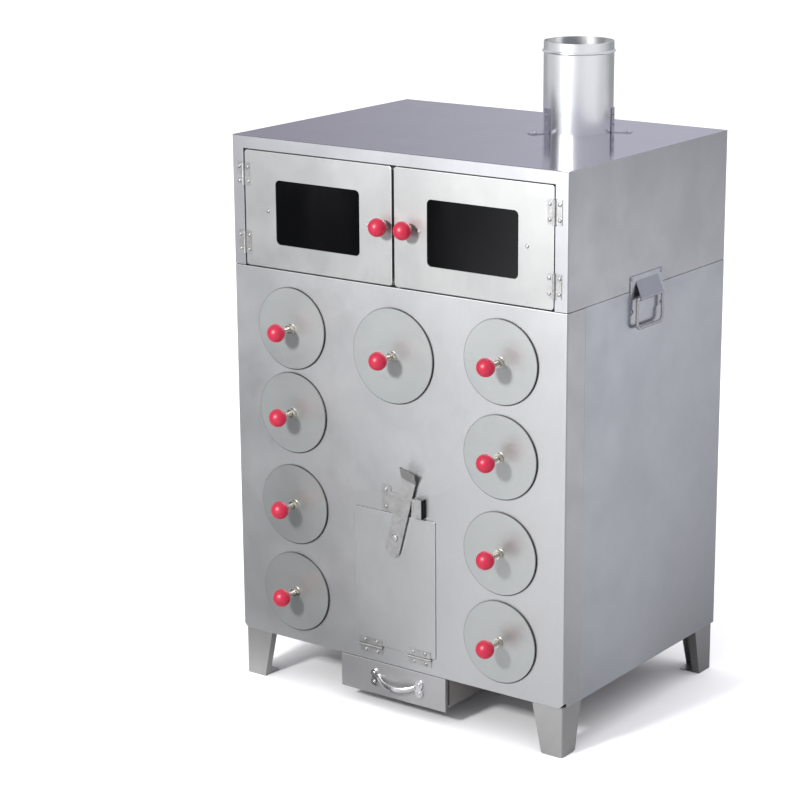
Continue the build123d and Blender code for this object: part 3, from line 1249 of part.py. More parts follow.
# ---- side handles: a wire bail turning in the rolled edge of a tongue on its plate ----
ROLL_R = BAIL_R + PIN_FIT
ROLL_OUT_R = ROLL_R + ROLL_T
brackets = []
for side in (-1, 1):
    plate = side_plane(side, 0)
    handle_x = side * HANDLE_BACK
    with BuildPart() as bracket:
        with BuildSketch(plate):
            middle, height = span(HANDLE_PLATE_BOTTOM_UP, HANDLE_PLATE_TOP_UP)
            with Locations((handle_x, middle)):
                RectangleRounded(HANDLE_PLATE_W, height, HANDLE_RIVET_IN / 2)
            with Locations(*[(side * y, up) for y, up in HANDLE_RIVETS]):
                Circle(HOLE_R, mode=Mode.SUBTRACT)
        extrude(amount=HANDLE_PLATE_T)
        # section across the handle: x out from the oven's side, y up
        section = Plane(
            origin=(side * HALF_W, FRONT_Y + HANDLE_BACK, LEG_H), x_dir=(side, 0, 0), z_dir=(0, -side, 0)
        )
        # the tongue runs from the plate to a tangent of the roll
        root = (HANDLE_PLATE_T, TONGUE_TOP_UP)
        run_x, run_y = BAIL_OUT - root[0], BAIL_UP - root[1]
        reach = hypot(run_x, run_y)
        heading = atan2(run_y, run_x) + asin(ROLL_OUT_R / reach)
        tangent = (reach**2 - ROLL_OUT_R**2) ** 0.5
        along = (cos(heading), sin(heading))
        inwards = (along[1], -along[0])
        tip = (root[0] + tangent * along[0], root[1] + tangent * along[1])
        with BuildSketch(section):
            with BuildLine():
                Polyline(
                    root,
                    tip,
                    (tip[0] + ROLL_T * inwards[0], tip[1] + ROLL_T * inwards[1]),
                    (HANDLE_PLATE_T, root[1] - ROLL_T / abs(along[0])),
                    close=True,
                )
            make_face()
            with Locations((BAIL_OUT, BAIL_UP)):
                Circle(ROLL_OUT_R)
                Circle(ROLL_R, mode=Mode.SUBTRACT)
        extrude(amount=BAIL_W / 2 - BAIL_TOP_R - ROLL_END_GAP, both=True)
    brackets.append(bracket.part)

    # the bail's ring hangs in the upright plane through the roll
    ring_plane = side_plane(side, BAIL_OUT)
    with BuildPart() as bail:
        low, high = BAIL_UP - BAIL_H, BAIL_UP
        with BuildLine(ring_plane) as ring:
            FilletPolyline(
                (handle_x + BAIL_W / 2, high),
                (handle_x + BAIL_W / 2, low),
                (handle_x - BAIL_W / 2, low),
                (handle_x - BAIL_W / 2, high),
                radius=[BAIL_TOP_R, BAIL_CORNER_R, BAIL_CORNER_R, BAIL_TOP_R],
                close=True,
            )
        with BuildSketch(Plane(origin=ring.line @ 0, z_dir=ring.line % 0)):
            Circle(BAIL_R)
        sweep(path=ring.line)
    name = "left" if side < 0 else "right"
    bail.part.label = f"{name}_bail_handle"
    export_step(bail.part, f"parts/{name}_bail_handle.step")
handle_rivets = [
    screw(
        side_plane(side, HANDLE_PLATE_T),
        [(side * y, up) for y, up in HANDLE_RIVETS],
        HANDLE_PLATE_T + SHEET,
    )
    for side in (-1, 1)
]
write_group("side_handle_brackets", *brackets, *handle_rivets)

# ---- cabinet rack: round-bar frame on four feet, thin wires across ----
with BuildPart() as warmer_rack:
    frame_up = LOWER_H + SHEET + RACK_UP
    frame_ys = (RACK_FRONT + RACK_LEG_IN, RACK_BACK - RACK_LEG_IN)
    with BuildSketch(Plane.YZ.offset(-RACK_HALF_W)):
        with Locations(*[(FRONT_Y + y, LEG_H + frame_up) for y in frame_ys]):
            Circle(RACK_FRAME_R)
    extrude(amount=2 * RACK_HALF_W)
    middle, depth = span(RACK_FRONT, RACK_BACK)
    wire_up = frame_up + RACK_FRAME_R + RACK_WIRE_R / 2
    pitch = 2 * (RACK_HALF_W - RACK_END) / (RACK_WIRES - 1)
    with BuildSketch(front_plane(-RACK_FRONT, wire_up)):
        with GridLocations(pitch, 0, RACK_WIRES, 1):
            Circle(RACK_WIRE_R)
    extrude(amount=-depth)
    with BuildSketch(level(LOWER_H + SHEET)):
        for x in (-RACK_HALF_W + RACK_LEG_IN, RACK_HALF_W - RACK_LEG_IN):
            with Locations(*[(x, y) for y in frame_ys]):
                Circle(RACK_LEG_R)
    extrude(amount=RACK_UP)
warmer_rack.part.label = "warmer_rack"
export_step(warmer_rack.part, "parts/warmer_rack.step")

# ---- fire box: three walls, front flanges against the front panel, a ledge for the grate ----
with BuildPart() as firebox:
    flange_y = SHEET + FIREBOX_T
    plan = [
        (-FIREBOX_HALF_W - RETURN, flange_y),
        (-FIREBOX_HALF_W, flange_y),
        (-FIREBOX_HALF_W, FIREBOX_BACK),
        (FIREBOX_HALF_W, FIREBOX_BACK),
        (FIREBOX_HALF_W, flange_y),
        (FIREBOX_HALF_W + RETURN, flange_y),
    ]
    walls = folded(level(2 * SHEET), plan, FIREBOX_T, Side.RIGHT, bend=FIREBOX_T + BEND_R)
    extrude(walls, amount=FIREBOX_H, dir=(0, 0, 1))
    ledge_half = FIREBOX_HALF_W - FIREBOX_T / 2
    with BuildSketch(level(FIREBOX_LEDGE_UP)):
        for inset, mode in ((0, Mode.ADD), (FIREBOX_LEDGE, Mode.SUBTRACT)):
            middle, depth = span(flange_y + RETURN / 2 + inset, FIREBOX_BACK - FIREBOX_T / 2 - inset)
            with Locations((0, middle)):
                Rectangle(2 * (ledge_half - inset), depth, mode=mode)
    extrude(amount=FIREBOX_T)
firebox.part.label = "firebox"
export_step(firebox.part, "parts/firebox.step")

with BuildPart() as fire_grate:
    grate_half = FIREBOX_HALF_W - FIREBOX_T - GRATE_GAP
    middle, depth = span(flange_y + RETURN / 2 + GRATE_GAP, FIREBOX_BACK - FIREBOX_T - GRATE_GAP)
    with BuildSketch(level(FIREBOX_LEDGE_UP + FIREBOX_T)):
        with Locations((0, middle)):
            RectangleRounded(2 * grate_half, depth, FIREBOX_T + BEND_R)
            with GridLocations(SLOT_PITCH, SLOT_L + 2 * SLOT_W, GRATE_SLOTS, 2):
                SlotOverall(SLOT_L, SLOT_W, rotation=90, mode=Mode.SUBTRACT)
    extrude(amount=GRATE_T)
fire_grate.part.label = "fire_grate"
export_step(fire_grate.part, "parts/fire_grate.step")
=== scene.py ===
# %% [markdown]
# # A charcoal potato oven in folded sheet steel
# The real object is a cabinet of folded stainless sheet on four sheet legs. It has nine
# round drawers with red ball knobs, a warming cabinet with two windowed doors, a fire door,
# an ash drawer and a flue.
# Its metal parts come from a CAD model, which fixes every size and every joint. This lesson
# gives them their finishes, and makes the small pieces that a CAD model leaves plain.

# %% Load the metal parts
from math import cos, pi, radians, sin

import bmesh
import bpy
from mathutils import Matrix, Vector


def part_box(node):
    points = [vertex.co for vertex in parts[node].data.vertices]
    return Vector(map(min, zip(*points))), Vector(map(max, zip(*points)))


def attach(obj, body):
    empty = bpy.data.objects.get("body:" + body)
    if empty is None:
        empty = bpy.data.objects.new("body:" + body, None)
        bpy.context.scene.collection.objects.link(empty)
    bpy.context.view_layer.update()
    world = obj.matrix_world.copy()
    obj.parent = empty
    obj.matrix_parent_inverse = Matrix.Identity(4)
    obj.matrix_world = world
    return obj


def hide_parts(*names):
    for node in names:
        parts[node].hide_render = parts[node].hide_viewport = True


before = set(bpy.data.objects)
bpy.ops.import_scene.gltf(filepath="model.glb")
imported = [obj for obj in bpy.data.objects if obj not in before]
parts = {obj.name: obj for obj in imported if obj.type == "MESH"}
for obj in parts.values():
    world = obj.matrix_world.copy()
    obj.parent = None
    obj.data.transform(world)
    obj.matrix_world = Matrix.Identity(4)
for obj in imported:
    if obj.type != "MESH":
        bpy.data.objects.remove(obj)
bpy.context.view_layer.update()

# %% [markdown]
# ## Measures
# Blender works in metres, and the workshop drawing is in millimetres. Each length is
# written in millimetres and multiplied by MM, so that it reads as on the drawing.
# X runs to the right, Y to the back and Z up, from the ground under the oven's middle.

# %% Measures from the drawing
MM = 0.001
LEG_HEIGHT = 84 * MM
FRONT = -213.6 * MM                 # the front sheet's face
DISC_THICK = 3.3 * MM               # a drawer cover's face in front of the front sheet
COLUMN_X = 205.9 * MM
LEFT_ROWS = (545, 402, 243, 89)     # millimetres above the body's underside
RIGHT_ROWS = (548, 395, 237, 89)
CENTRE_ROW = 528
COVER_RADIUS = 69 * MM
CENTRE_COVER_RADIUS = 78.8 * MM
BALL_RADIUS = 15 * MM
BALL_FLAT = 14.2 * MM               # middle of a ball to the flat on its back
DRAWER_BALL_OUT = 42.8 * MM         # front sheet to the middle of a ball
DOOR_BALL_OUT = 20 * MM
DOOR_BALLS = {"left_door": -15.5 * MM, "right_door": 33 * MM}
DOOR_BALL_UP = 737 * MM
STUD_RADIUS = 4 * MM

drawers = {}
for count, up in enumerate(LEFT_ROWS, 1):
    drawers[f"left_drawer_{count}"] = (-COLUMN_X, LEG_HEIGHT + up * MM, COVER_RADIUS)
for count, up in enumerate(RIGHT_ROWS, 1):
    drawers[f"right_drawer_{count}"] = (COLUMN_X, LEG_HEIGHT + up * MM, COVER_RADIUS)
drawers["centre_drawer"] = (0.0, LEG_HEIGHT + CENTRE_ROW * MM, CENTRE_COVER_RADIUS)
print("drawers:", len(drawers))

# %% [markdown]
# ## How a finish is made
# A finish is a small graph of nodes that ends in the Principled shader. The graphs below
# all start from Object coordinates: the parts sit at the origin, so these are the oven's
# own metres, they need no unwrapping, and they travel with a drawer that is pulled out.
# A few helpers keep the graphs short: they start a material, make cloudy noise, map a value
# to a range, do sums, mix colours, split a place into X, Y and Z, and make a bump.


# %% Helpers for finishes
def start_finish(title):
    """A new material, its node tree, its shader and its Object coordinates."""
    finish = bpy.data.materials.new(title)
    finish.use_nodes = True
    tree = finish.node_tree
    where = tree.nodes.new("ShaderNodeTexCoord").outputs["Object"]
    return finish, tree, tree.nodes["Principled BSDF"], where


def clouds(tree, where, scale, stretch=(1, 1, 1), detail=3.0, roughness=0.5, offset=(0, 0, 0)):
    """Noise from 0 to 1 with about `scale` blotches to the metre, drawn out by `stretch`."""
    mapping = tree.nodes.new("ShaderNodeMapping")
    mapping.inputs["Scale"].default_value = stretch
    mapping.inputs["Location"].default_value = offset
    tree.links.new(where, mapping.inputs["Vector"])
    noise = tree.nodes.new("ShaderNodeTexNoise")
    noise.inputs["Scale"].default_value = scale
    noise.inputs["Detail"].default_value = detail
    noise.inputs["Roughness"].default_value = roughness
    tree.links.new(mapping.outputs["Vector"], noise.inputs["Vector"])
    return noise.outputs["Fac"]


def spread(tree, value, low, high, start=0.0, end=1.0):
    """The value's stretch from start to end, mapped to low to high and kept inside it."""
    ramp = tree.nodes.new("ShaderNodeMapRange")
    ends = {"From Min": start, "From Max": end, "To Min": low, "To Max": high}
    for socket, number in ends.items():
        ramp.inputs[socket].default_value = number
    tree.links.new(value, ramp.inputs["Value"])
    return ramp.outputs["Result"]


def sum_of(tree, first, second, operation="ADD"):
    """Two values, or a value and a number, put together."""
    node = tree.nodes.new("ShaderNodeMath")
    node.operation = operation
    for socket, value in zip(node.inputs, (first, second)):
        if isinstance(value, (int, float)):
            socket.default_value = value
        else:
            tree.links.new(value, socket)
    return node.outputs["Value"]


def blended(tree, value, under, over, kind="MIX"):
    """The colour over laid on the colour under, as far as the value says. Either may be fixed."""
    mix = tree.nodes.new("ShaderNodeMix")
    mix.data_type = "RGBA"
    mix.blend_type = kind
    tree.links.new(value, mix.inputs["Factor"])
    for socket, colour in ((mix.inputs["A"], under), (mix.inputs["B"], over)):
        if isinstance(colour, tuple):
            socket.default_value = (*colour, 1)
        else:
            tree.links.new(colour, socket)
    return mix.outputs["Result"]


def tint(tree, value, dark, light):
    """A colour between dark and light."""
    return blended(tree, value, dark, light)


def axes(tree, where):
    """A place's X, Y and Z, as the outputs of one node."""
    split = tree.nodes.new("ShaderNodeSeparateXYZ")
    tree.links.new(where, split.inputs["Vector"])
    return split.outputs


def relief(tree, height, depth, under=None):
    """A bump of `depth` metres where the height is 1."""
    bump = tree.nodes.new("ShaderNodeBump")
    bump.inputs["Strength"].default_value = 1.0
    bump.inputs["Distance"].default_value = depth
    tree.links.new(height, bump.inputs["Height"])
    if under is not None:
        tree.links.new(under, bump.inputs["Normal"])
    return bump.outputs["Normal"]


# %% [markdown]
# ## Sheet steel
# The oven is folded from thin cold-rolled stainless. Such sheet has three things to show:
# a fine grain along the rolling direction, slow waves where the sheet has buckled a little
# between its folds, and patches where hands and tools have dulled it.
# One metallic shader carries all three: stretched noise for the grain, large noise for the
# waves, and middling noise for the dull patches. The colour stays close to one grey, since
# the look of bare metal comes from what it reflects.
# Two options serve single parts. A front face can be rougher than the sides of the same
# sheet, and faces that look up can be darker, a painted shade. The second goes by the room's
# up, so it changes when a part turns: an opened fire door shows its inner face dark.


# %% The sheet's finish
GRAIN_LINES = 900        # to the metre, across the rolling direction
GRAIN_LENGTH = 0.035     # how slowly the grain changes along it
WAVES = 2.6              # to the metre
PATCHES = 11
GRAIN_DEEP = 0.004 * MM
GRAIN_ROUGH = 0.03       # how far the grain moves the roughness either way
FRONT_FACE = 3 * MM      # the front face's zone, back from the front


def painted_upward_shade(tree, colour, left):
    """Painted shade: the colour, times `left` where the face looks up in the room."""
    facing = axes(tree, tree.nodes.new("ShaderNodeNewGeometry").outputs["True Normal"])
    upwards = spread(tree, facing["Z"], 0, 1, 0.25, 0.6)
    return blended(tree, upwards, colour, (left, left, left), "MULTIPLY")


def sheet_finish(
    title, light, dark, polish, dulled, along="Z", wave_depth=0.9 * MM, ground_front=0.0, edges=1.0
):
    """Rolled sheet: two greys, and roughness where polished and where dulled. ground_front adds
    roughness on the front face, and edges below 1 paints shade on what looks up."""
    finish, tree, shader, where = start_finish(title)
    stretch = [1.0, 1.0, 1.0]
    stretch["XYZ".index(along)] = GRAIN_LENGTH
    grain = clouds(tree, where, GRAIN_LINES, stretch, detail=2.0)
    patches = clouds(tree, where, PATCHES, detail=5.0, roughness=0.62)
    waves = clouds(tree, where, WAVES, detail=1.0, offset=(3.1, 1.7, 0.4))
    patchy = spread(tree, patches, 0.0, 1.0, 0.35, 0.68)
    shade = sum_of(
        tree, sum_of(tree, patchy, 0.65, "MULTIPLY"), sum_of(tree, grain, 0.35, "MULTIPLY")
    )
    steel = tint(tree, shade, dark, light)
    if edges < 1:
        steel = painted_upward_shade(tree, steel, edges)
    tree.links.new(steel, shader.inputs["Base Color"])
    by_grain = spread(tree, grain, -GRAIN_ROUGH, GRAIN_ROUGH)
    rough = sum_of(tree, spread(tree, patches, dulled, polish, 0.3, 0.7), by_grain)
    if ground_front:
        on_front = sum_of(tree, axes(tree, where)["Y"], FRONT + FRONT_FACE, "LESS_THAN")
        rough = sum_of(tree, rough, sum_of(tree, on_front, ground_front, "MULTIPLY"))
    tree.links.new(rough, shader.inputs["Roughness"])
    buckled = relief(tree, waves, wave_depth)
    tree.links.new(relief(tree, grain, GRAIN_DEEP, buckled), shader.inputs["Normal"])
    shader.inputs["Metallic"].default_value = 1.0
    print("finish:", title)
    return finish


# These are copies of one steel. Beside their grain and roughness, their greys differ part by part
# to match each part's tone in its light: the legs and ash drawer darker, the sides bluer and the
# top lilac. So part of each grey is painted light, shade and reflection.
front_steel = sheet_finish(
    "front_steel", (0.45, 0.455, 0.46), (0.41, 0.415, 0.418), 0.30, 0.38, ground_front=0.12
)
# edges below 1 paints shade on the faces that look up, here on the fire door and ash drawer.
fire_door_steel = sheet_finish(
    "fire_door_steel", (0.45, 0.455, 0.455), (0.41, 0.415, 0.412), 0.42, 0.50, edges=0.35
)
side_steel = sheet_finish("side_steel", (0.445, 0.46, 0.49), (0.405, 0.42, 0.45), 0.30, 0.38)
casing_steel = sheet_finish(
    "casing_steel", (0.45, 0.455, 0.47), (0.41, 0.415, 0.43), 0.30, 0.38, ground_front=0.09
)
ash_steel = sheet_finish(
    "ash_steel", (0.41, 0.41, 0.415), (0.37, 0.37, 0.37), 0.44, 0.52, edges=0.4
)
top_steel = sheet_finish(
    "top_steel", (0.475, 0.47, 0.52), (0.435, 0.43, 0.475), 0.10, 0.15,
    along="X", wave_depth=0.25 * MM,
)
door_steel = sheet_finish("door_steel", (0.45, 0.455, 0.45), (0.41, 0.415, 0.41), 0.40, 0.48)
inner_steel = sheet_finish("inner_steel", (0.50, 0.49, 0.47), (0.36, 0.34, 0.32), 0.40, 0.58)
leg_steel = sheet_finish(
    "leg_steel", (0.42, 0.42, 0.415), (0.36, 0.36, 0.355), 0.38, 0.48, wave_depth=0.2 * MM
)

# %% Sheet parts get their finish
def dress(finish, *names):
    """The finish replaces whatever the named parts carry."""
    for name in names:
        slots = parts[name].data.materials
        slots.clear()
        slots.append(finish)
    print(finish.name, "on:", ", ".join(names))


dress(front_steel, "front_panel")
dress(fire_door_steel, "fire_door")
dress(ash_steel, "ash_drawer")
dress(side_steel, "body_wrapper", "warmer_back_panel")
dress(casing_steel, "upper_casing")
dress(top_steel, "top_cover")
dress(door_steel, "left_door_panel", "right_door_panel")
dress(leg_steel, "front_left_leg", "front_right_leg", "rear_left_leg", "rear_right_leg")
dress(
    inner_steel, "floor_panel", "warmer_floor", "left_drawer_sleeves", "right_drawer_sleeves",
    "centre_drawer_sleeve", "sleeve_support_plate",
)

# %% [markdown]
# ## Drawer covers
# Each round cover is pressed from thicker sheet than the body and ground on a disc, so it
# catches the light a little differently from the sheet behind it. Two spots show where its
# tray is welded on at the back: shallow, slightly brown dimples. The stud, nut and washer in
# its middle are zinc-plated.
# The cover, tray, stud and nut are one part, so the finish tells them apart by place: near
# the stud's axis and in front of the cover's face is plating, and everything else is sheet.
# The edge carries a painted shade, a dark line full on the right and faint on the left.

# %% The covers' finish
WELD_SPOTS = ((-19 * MM, -43 * MM), (17 * MM, 31 * MM))
WELD_RADIUS = 4.5 * MM
PLATED_RADIUS = 8.6 * MM
RIM_SHADE = 2.2 * MM        # width of the painted shade along a cover's edge
RIM_SHADE_LEFT = 0.2            # what is left of it on the left
SPOT_SHOWN = 0.25          # how much of a spot's colour shows
SPOT_DEEP = 0.06 * MM
PLATED_SMOOTHER = 0.22     # plating against the cover, in roughness
THREAD_PITCH = 1.25 * MM
THREAD_DEEP = 0.25 * MM


def from_axis(tree, where, x, z):
    """Distance from a line that runs straight back through the front at x and z."""
    flat = tree.nodes.new("ShaderNodeMapping")
    flat.inputs["Scale"].default_value = (1, 0, 1)
    tree.links.new(where, flat.inputs["Vector"])
    gap = tree.nodes.new("ShaderNodeVectorMath")
    gap.operation = "DISTANCE"
    gap.inputs[1].default_value = (x, 0, z)
    tree.links.new(flat.outputs["Vector"], gap.inputs[0])
    return gap.outputs["Value"]


def in_front_of(tree, where, plane):
    """1 where a point is more than a hair in front of the plane y, else 0."""
    return sum_of(tree, axes(tree, where)["Y"], plane - 0.05 * MM, "LESS_THAN")


def cover_finish(name, x, z, radius, number):
    """The finish of one cover, its middle at x and z. number moves its blotches."""
    finish, tree, shader, where = start_finish(f"{name}_steel")
    axis_gap = from_axis(tree, where, x, z)
    turned = clouds(tree, where, 7.0, detail=4.0, offset=(number * 1.3, 0, number * 0.7))
    ground = (GRAIN_LENGTH, 1, 1)
    lines = clouds(tree, where, GRAIN_LINES, ground, detail=2.0, offset=(0, 0, number))
    shade = sum_of(
        tree, sum_of(tree, turned, 0.6, "MULTIPLY"), sum_of(tree, lines, 0.4, "MULTIPLY")
    )
    steel = tint(tree, shade, (0.36, 0.375, 0.37), (0.415, 0.43, 0.425))
    spots = None
    for dx, dz in WELD_SPOTS:
        spot = spread(tree, from_axis(tree, where, x + dx, z + dz), 1.0, 0.0, 0.0, WELD_RADIUS)
        spots = spot if spots is None else sum_of(tree, spots, spot, "MAXIMUM")
    worn = blended(tree, sum_of(tree, spots, SPOT_SHOWN, "MULTIPLY"), steel, (0.50, 0.485, 0.46))
    near = sum_of(tree, axis_gap, PLATED_RADIUS, "LESS_THAN")
    plated = sum_of(tree, near, in_front_of(tree, where, FRONT - DISC_THICK), "MULTIPLY")
    placed = axes(tree, where)
    # Painted shade: a dark line along the cover's edge, full on its right and faint on its left.
    edge = spread(tree, axis_gap, 0, 1, radius - RIM_SHADE, radius - RIM_SHADE / 2)
    to_right = spread(tree, placed["X"], 1.0, RIM_SHADE_LEFT, x + 0.2 * radius, x - 0.6 * radius)
    rim_shaded = blended(tree, sum_of(tree, edge, to_right, "MULTIPLY"), worn, (0.05, 0.05, 0.048))
    tree.links.new(blended(tree, plated, rim_shaded, (0.50, 0.48, 0.43)), shader.inputs["Base Color"])
    by_lines = spread(tree, lines, -GRAIN_ROUGH, GRAIN_ROUGH)
    rough = sum_of(tree, spread(tree, turned, 0.49, 0.41, 0.3, 0.7), by_lines)
    smoother = sum_of(tree, plated, PLATED_SMOOTHER, "MULTIPLY")
    tree.links.new(sum_of(tree, rough, smoother, "SUBTRACT"), shader.inputs["Roughness"])
    dimple = relief(tree, sum_of(tree, spots, -1.0, "MULTIPLY"), SPOT_DEEP)
    along_stud = sum_of(tree, placed["Y"], 2 * pi / THREAD_PITCH, "MULTIPLY")
    turns = sum_of(tree, along_stud, 0.0, "SINE")
    on_stud = sum_of(tree, axis_gap, STUD_RADIUS + 0.2 * MM, "LESS_THAN")
    threaded = sum_of(tree, turns, sum_of(tree, on_stud, plated, "MULTIPLY"), "MULTIPLY")
    ridges = relief(tree, threaded, THREAD_DEEP, dimple)
    tree.links.new(relief(tree, lines, GRAIN_DEEP, ridges), shader.inputs["Normal"])
    shader.inputs["Metallic"].default_value = 1.0
    return finish


for number, (name, (x, z, radius)) in enumerate(drawers.items()):
    dress(cover_finish(name, x, z, radius, number), name)
print("covers finished:", len(drawers))

# %% [markdown]
# ## Hardware, glass, flue and fire parts
# Hinges, clips, screws and handles are plated steel with small dull spots. The bow handle is
# satin chrome. The windows are dark heat glass, wiped but never quite clean. The flue is a bright
# rolled pipe, and what the charcoal touches is black and rough.

# %% Plated hardware
def plated_finish(title, light, dark, bright, dull, edges=1.0):
    """Plating: two greys, roughness where bright and where dull, and painted shade as for sheet."""
    finish, tree, shader, where = start_finish(title)
    spangle = clouds(tree, where, 260.0, detail=3.0)
    stains = clouds(tree, where, 45.0, detail=5.0, roughness=0.65, offset=(0.6, 0.2, 0.9))
    plate = tint(tree, spread(tree, stains, 0, 1, 0.35, 0.65), dark, light)
    if edges < 1:
        plate = painted_upward_shade(tree, plate, edges)
    tree.links.new(plate, shader.inputs["Base Color"])
    tree.links.new(spread(tree, spangle, bright, dull, 0.3, 0.75), shader.inputs["Roughness"])
    tree.links.new(relief(tree, spangle, 0.01 * MM), shader.inputs["Normal"])
    shader.inputs["Metallic"].default_value = 1.0
    print("plating:", title)
    return finish


zinc = plated_finish("zinc_plate", (0.78, 0.78, 0.78), (0.66, 0.65, 0.63), 0.20, 0.36)
# edges=0.4 paints shade on the faces of the dull plating that look up.
dull_zinc = plated_finish(
    "dull_zinc_plate", (0.45, 0.45, 0.45), (0.37, 0.37, 0.365), 0.36, 0.50, edges=0.4
)
screw_zinc = plated_finish("screw_plate", (0.34, 0.34, 0.335), (0.25, 0.25, 0.245), 0.38, 0.52)
bail_steel = plated_finish("bail_wire", (0.50, 0.50, 0.51), (0.38, 0.38, 0.38), 0.18, 0.30)
chrome = plated_finish("chrome_plate", (0.60, 0.60, 0.61), (0.50, 0.50, 0.51), 0.20, 0.32)
dress(zinc, "warmer_rack")
dress(screw_zinc, "hinge_pins", "panel_screws")
dress(
    dull_zinc, "left_door_hinges", "right_door_hinges", "fire_door_hinges", "hinge_base_leaves",
    "left_door_glass_clips", "right_door_glass_clips", "latch_lever",
)
dress(side_steel, "side_handle_brackets")
dress(top_steel, "flue_brackets")
dress(bail_steel, "left_bail_handle", "right_bail_handle")
dress(chrome, "ash_drawer_handle")

# %% The keeper's hook
KEEPER_SIDE = 60.2 * MM    # the hook's bend starts here, and its painted shade with it


def keeper_finish():
    """As the dull plating, with the bent side of the hook painted nearly black as its shade."""
    finish = dull_zinc.copy()
    finish.name = "keeper_plate"
    tree = finish.node_tree
    base = tree.nodes["Principled BSDF"].inputs["Base Color"]
    placed = axes(tree, tree.nodes["Texture Coordinate"].outputs["Object"])
    # Painted shade: black from the hook's bend to its end.
    painted_shadow_side = spread(tree, placed["X"], 0, 1, KEEPER_SIDE - 0.5 * MM, KEEPER_SIDE + 0.5 * MM)
    plain = base.links[0].from_socket
    tree.links.new(blended(tree, painted_shadow_side, plain, (0.015, 0.015, 0.016)), base)
    print("keeper: black to the right of", round(KEEPER_SIDE / MM, 1), "mm")
    return finish


dress(keeper_finish(), "latch_keeper")

# %% Dark glass
def glass_finish(title):
    """Nearly black glass with faint smears."""
    finish, tree, shader, where = start_finish(title)
    smears = clouds(tree, where, 9.0, (1, 1, 0.35), detail=5.0, roughness=0.6)
    darkness = tint(tree, smears, (0.0005, 0.0006, 0.0008), (0.002, 0.0021, 0.0025))
    tree.links.new(darkness, shader.inputs["Base Color"])
    tree.links.new(spread(tree, smears, 0.04, 0.16, 0.4, 0.75), shader.inputs["Roughness"])
    shader.inputs["IOR"].default_value = 1.5
    shader.inputs["Specular IOR Level"].default_value = 0.45
    print("glass:", title)
    return finish


dress(glass_finish("dark_glass"), "left_door_glass", "right_door_glass")

# %% Flue pipe
def flue_finish():
    """Bright sheet with its grain along the pipe."""
    finish, tree, shader, where = start_finish("flue_sheet")
    grain = clouds(tree, where, GRAIN_LINES, (1, 1, GRAIN_LENGTH), detail=2.0)
    patches = clouds(tree, where, 14.0, detail=5.0, roughness=0.6)
    steel = tint(tree, patches, (0.74, 0.75, 0.755), (0.84, 0.85, 0.86))
    by_grain = spread(tree, grain, -GRAIN_ROUGH, GRAIN_ROUGH)
    rough = sum_of(tree, spread(tree, patches, 0.20, 0.28), by_grain)
    tree.links.new(steel, shader.inputs["Base Color"])
    tree.links.new(rough, shader.inputs["Roughness"])
    tree.links.new(relief(tree, grain, GRAIN_DEEP), shader.inputs["Normal"])
    shader.inputs["Metallic"].default_value = 1.0
    print("flue finish:", finish.name)
    return finish


dress(flue_finish(), "flue_pipe")

# %% Fire parts
def sooty_finish(title, light, dark, grit):
    """Black and rough, as the charcoal leaves it, with grit as deep as given."""
    finish, tree, shader, where = start_finish(title)
    soot = clouds(tree, where, 30.0, detail=6.0, roughness=0.7)
    sand = clouds(tree, where, 700.0, detail=2.0)
    tree.links.new(tint(tree, soot, dark, light), shader.inputs["Base Color"])
    tree.links.new(spread(tree, soot, 0.55, 0.85), shader.inputs["Roughness"])
    tree.links.new(relief(tree, sand, grit), shader.inputs["Normal"])
    shader.inputs["Metallic"].default_value = 0.6
    print("sooty finish:", title)
    return finish


dress(sooty_finish("black_sheet", (0.10, 0.095, 0.09), (0.03, 0.028, 0.027), 0.02 * MM), "firebox")
dress(sooty_finish("cast_iron", (0.14, 0.13, 0.125), (0.05, 0.045, 0.042), 0.15 * MM), "fire_grate")

# %% [markdown]
# ## Ball knobs
# The knobs are moulded balls, 30 mm across, of satin red phenolic plastic. They could be
# left as plain spheres, but a real one has a flat at the back round its threaded hole and a
# faint line where the two halves of its mould met.
# Each is turned here from half an outline, as on a lathe, so the flat, the rounded rim of
# the hole and the mould line are real shape.

# %% A lathe for round pieces
def turned(title, outline, place, steps=72):
    """Turns (radius, out) points, in metres, round a line that points out of the front at place."""
    shape = bmesh.new()
    rings = []
    for radius, out in outline:
        if radius < 1e-7:
            rings.append([shape.verts.new((0, -out, 0))])
        else:
            rings.append([
                shape.verts.new((radius * cos(turn), -out, radius * sin(turn)))
                for turn in (2 * pi * step / steps for step in range(steps))
            ])
    for near, far in zip(rings, rings[1:]):
        for step in range(steps):
            after = (step + 1) % steps
            corners = [
                near[step % len(near)], near[after % len(near)],
                far[after % len(far)], far[step % len(far)],
            ]
            shape.faces.new(list(dict.fromkeys(corners)))
    bmesh.ops.recalc_face_normals(shape, faces=shape.faces)
    return shaped(title, shape, place)


def shaped(title, shape, place=(0, 0, 0), crease=radians(35)):
    """Makes a piece of the bmesh: smooth, and sharp where it turns by more than crease."""
    for face in shape.faces:
        face.smooth = True
    for edge in shape.edges:
        if edge.is_manifold:
            edge.smooth = edge.calc_face_angle() < crease
    mesh = bpy.data.meshes.new(title)
    shape.to_mesh(mesh)
    shape.free()
    piece = bpy.data.objects.new(title, mesh)
    piece.location = place
    bpy.context.scene.collection.objects.link(piece)
    return piece


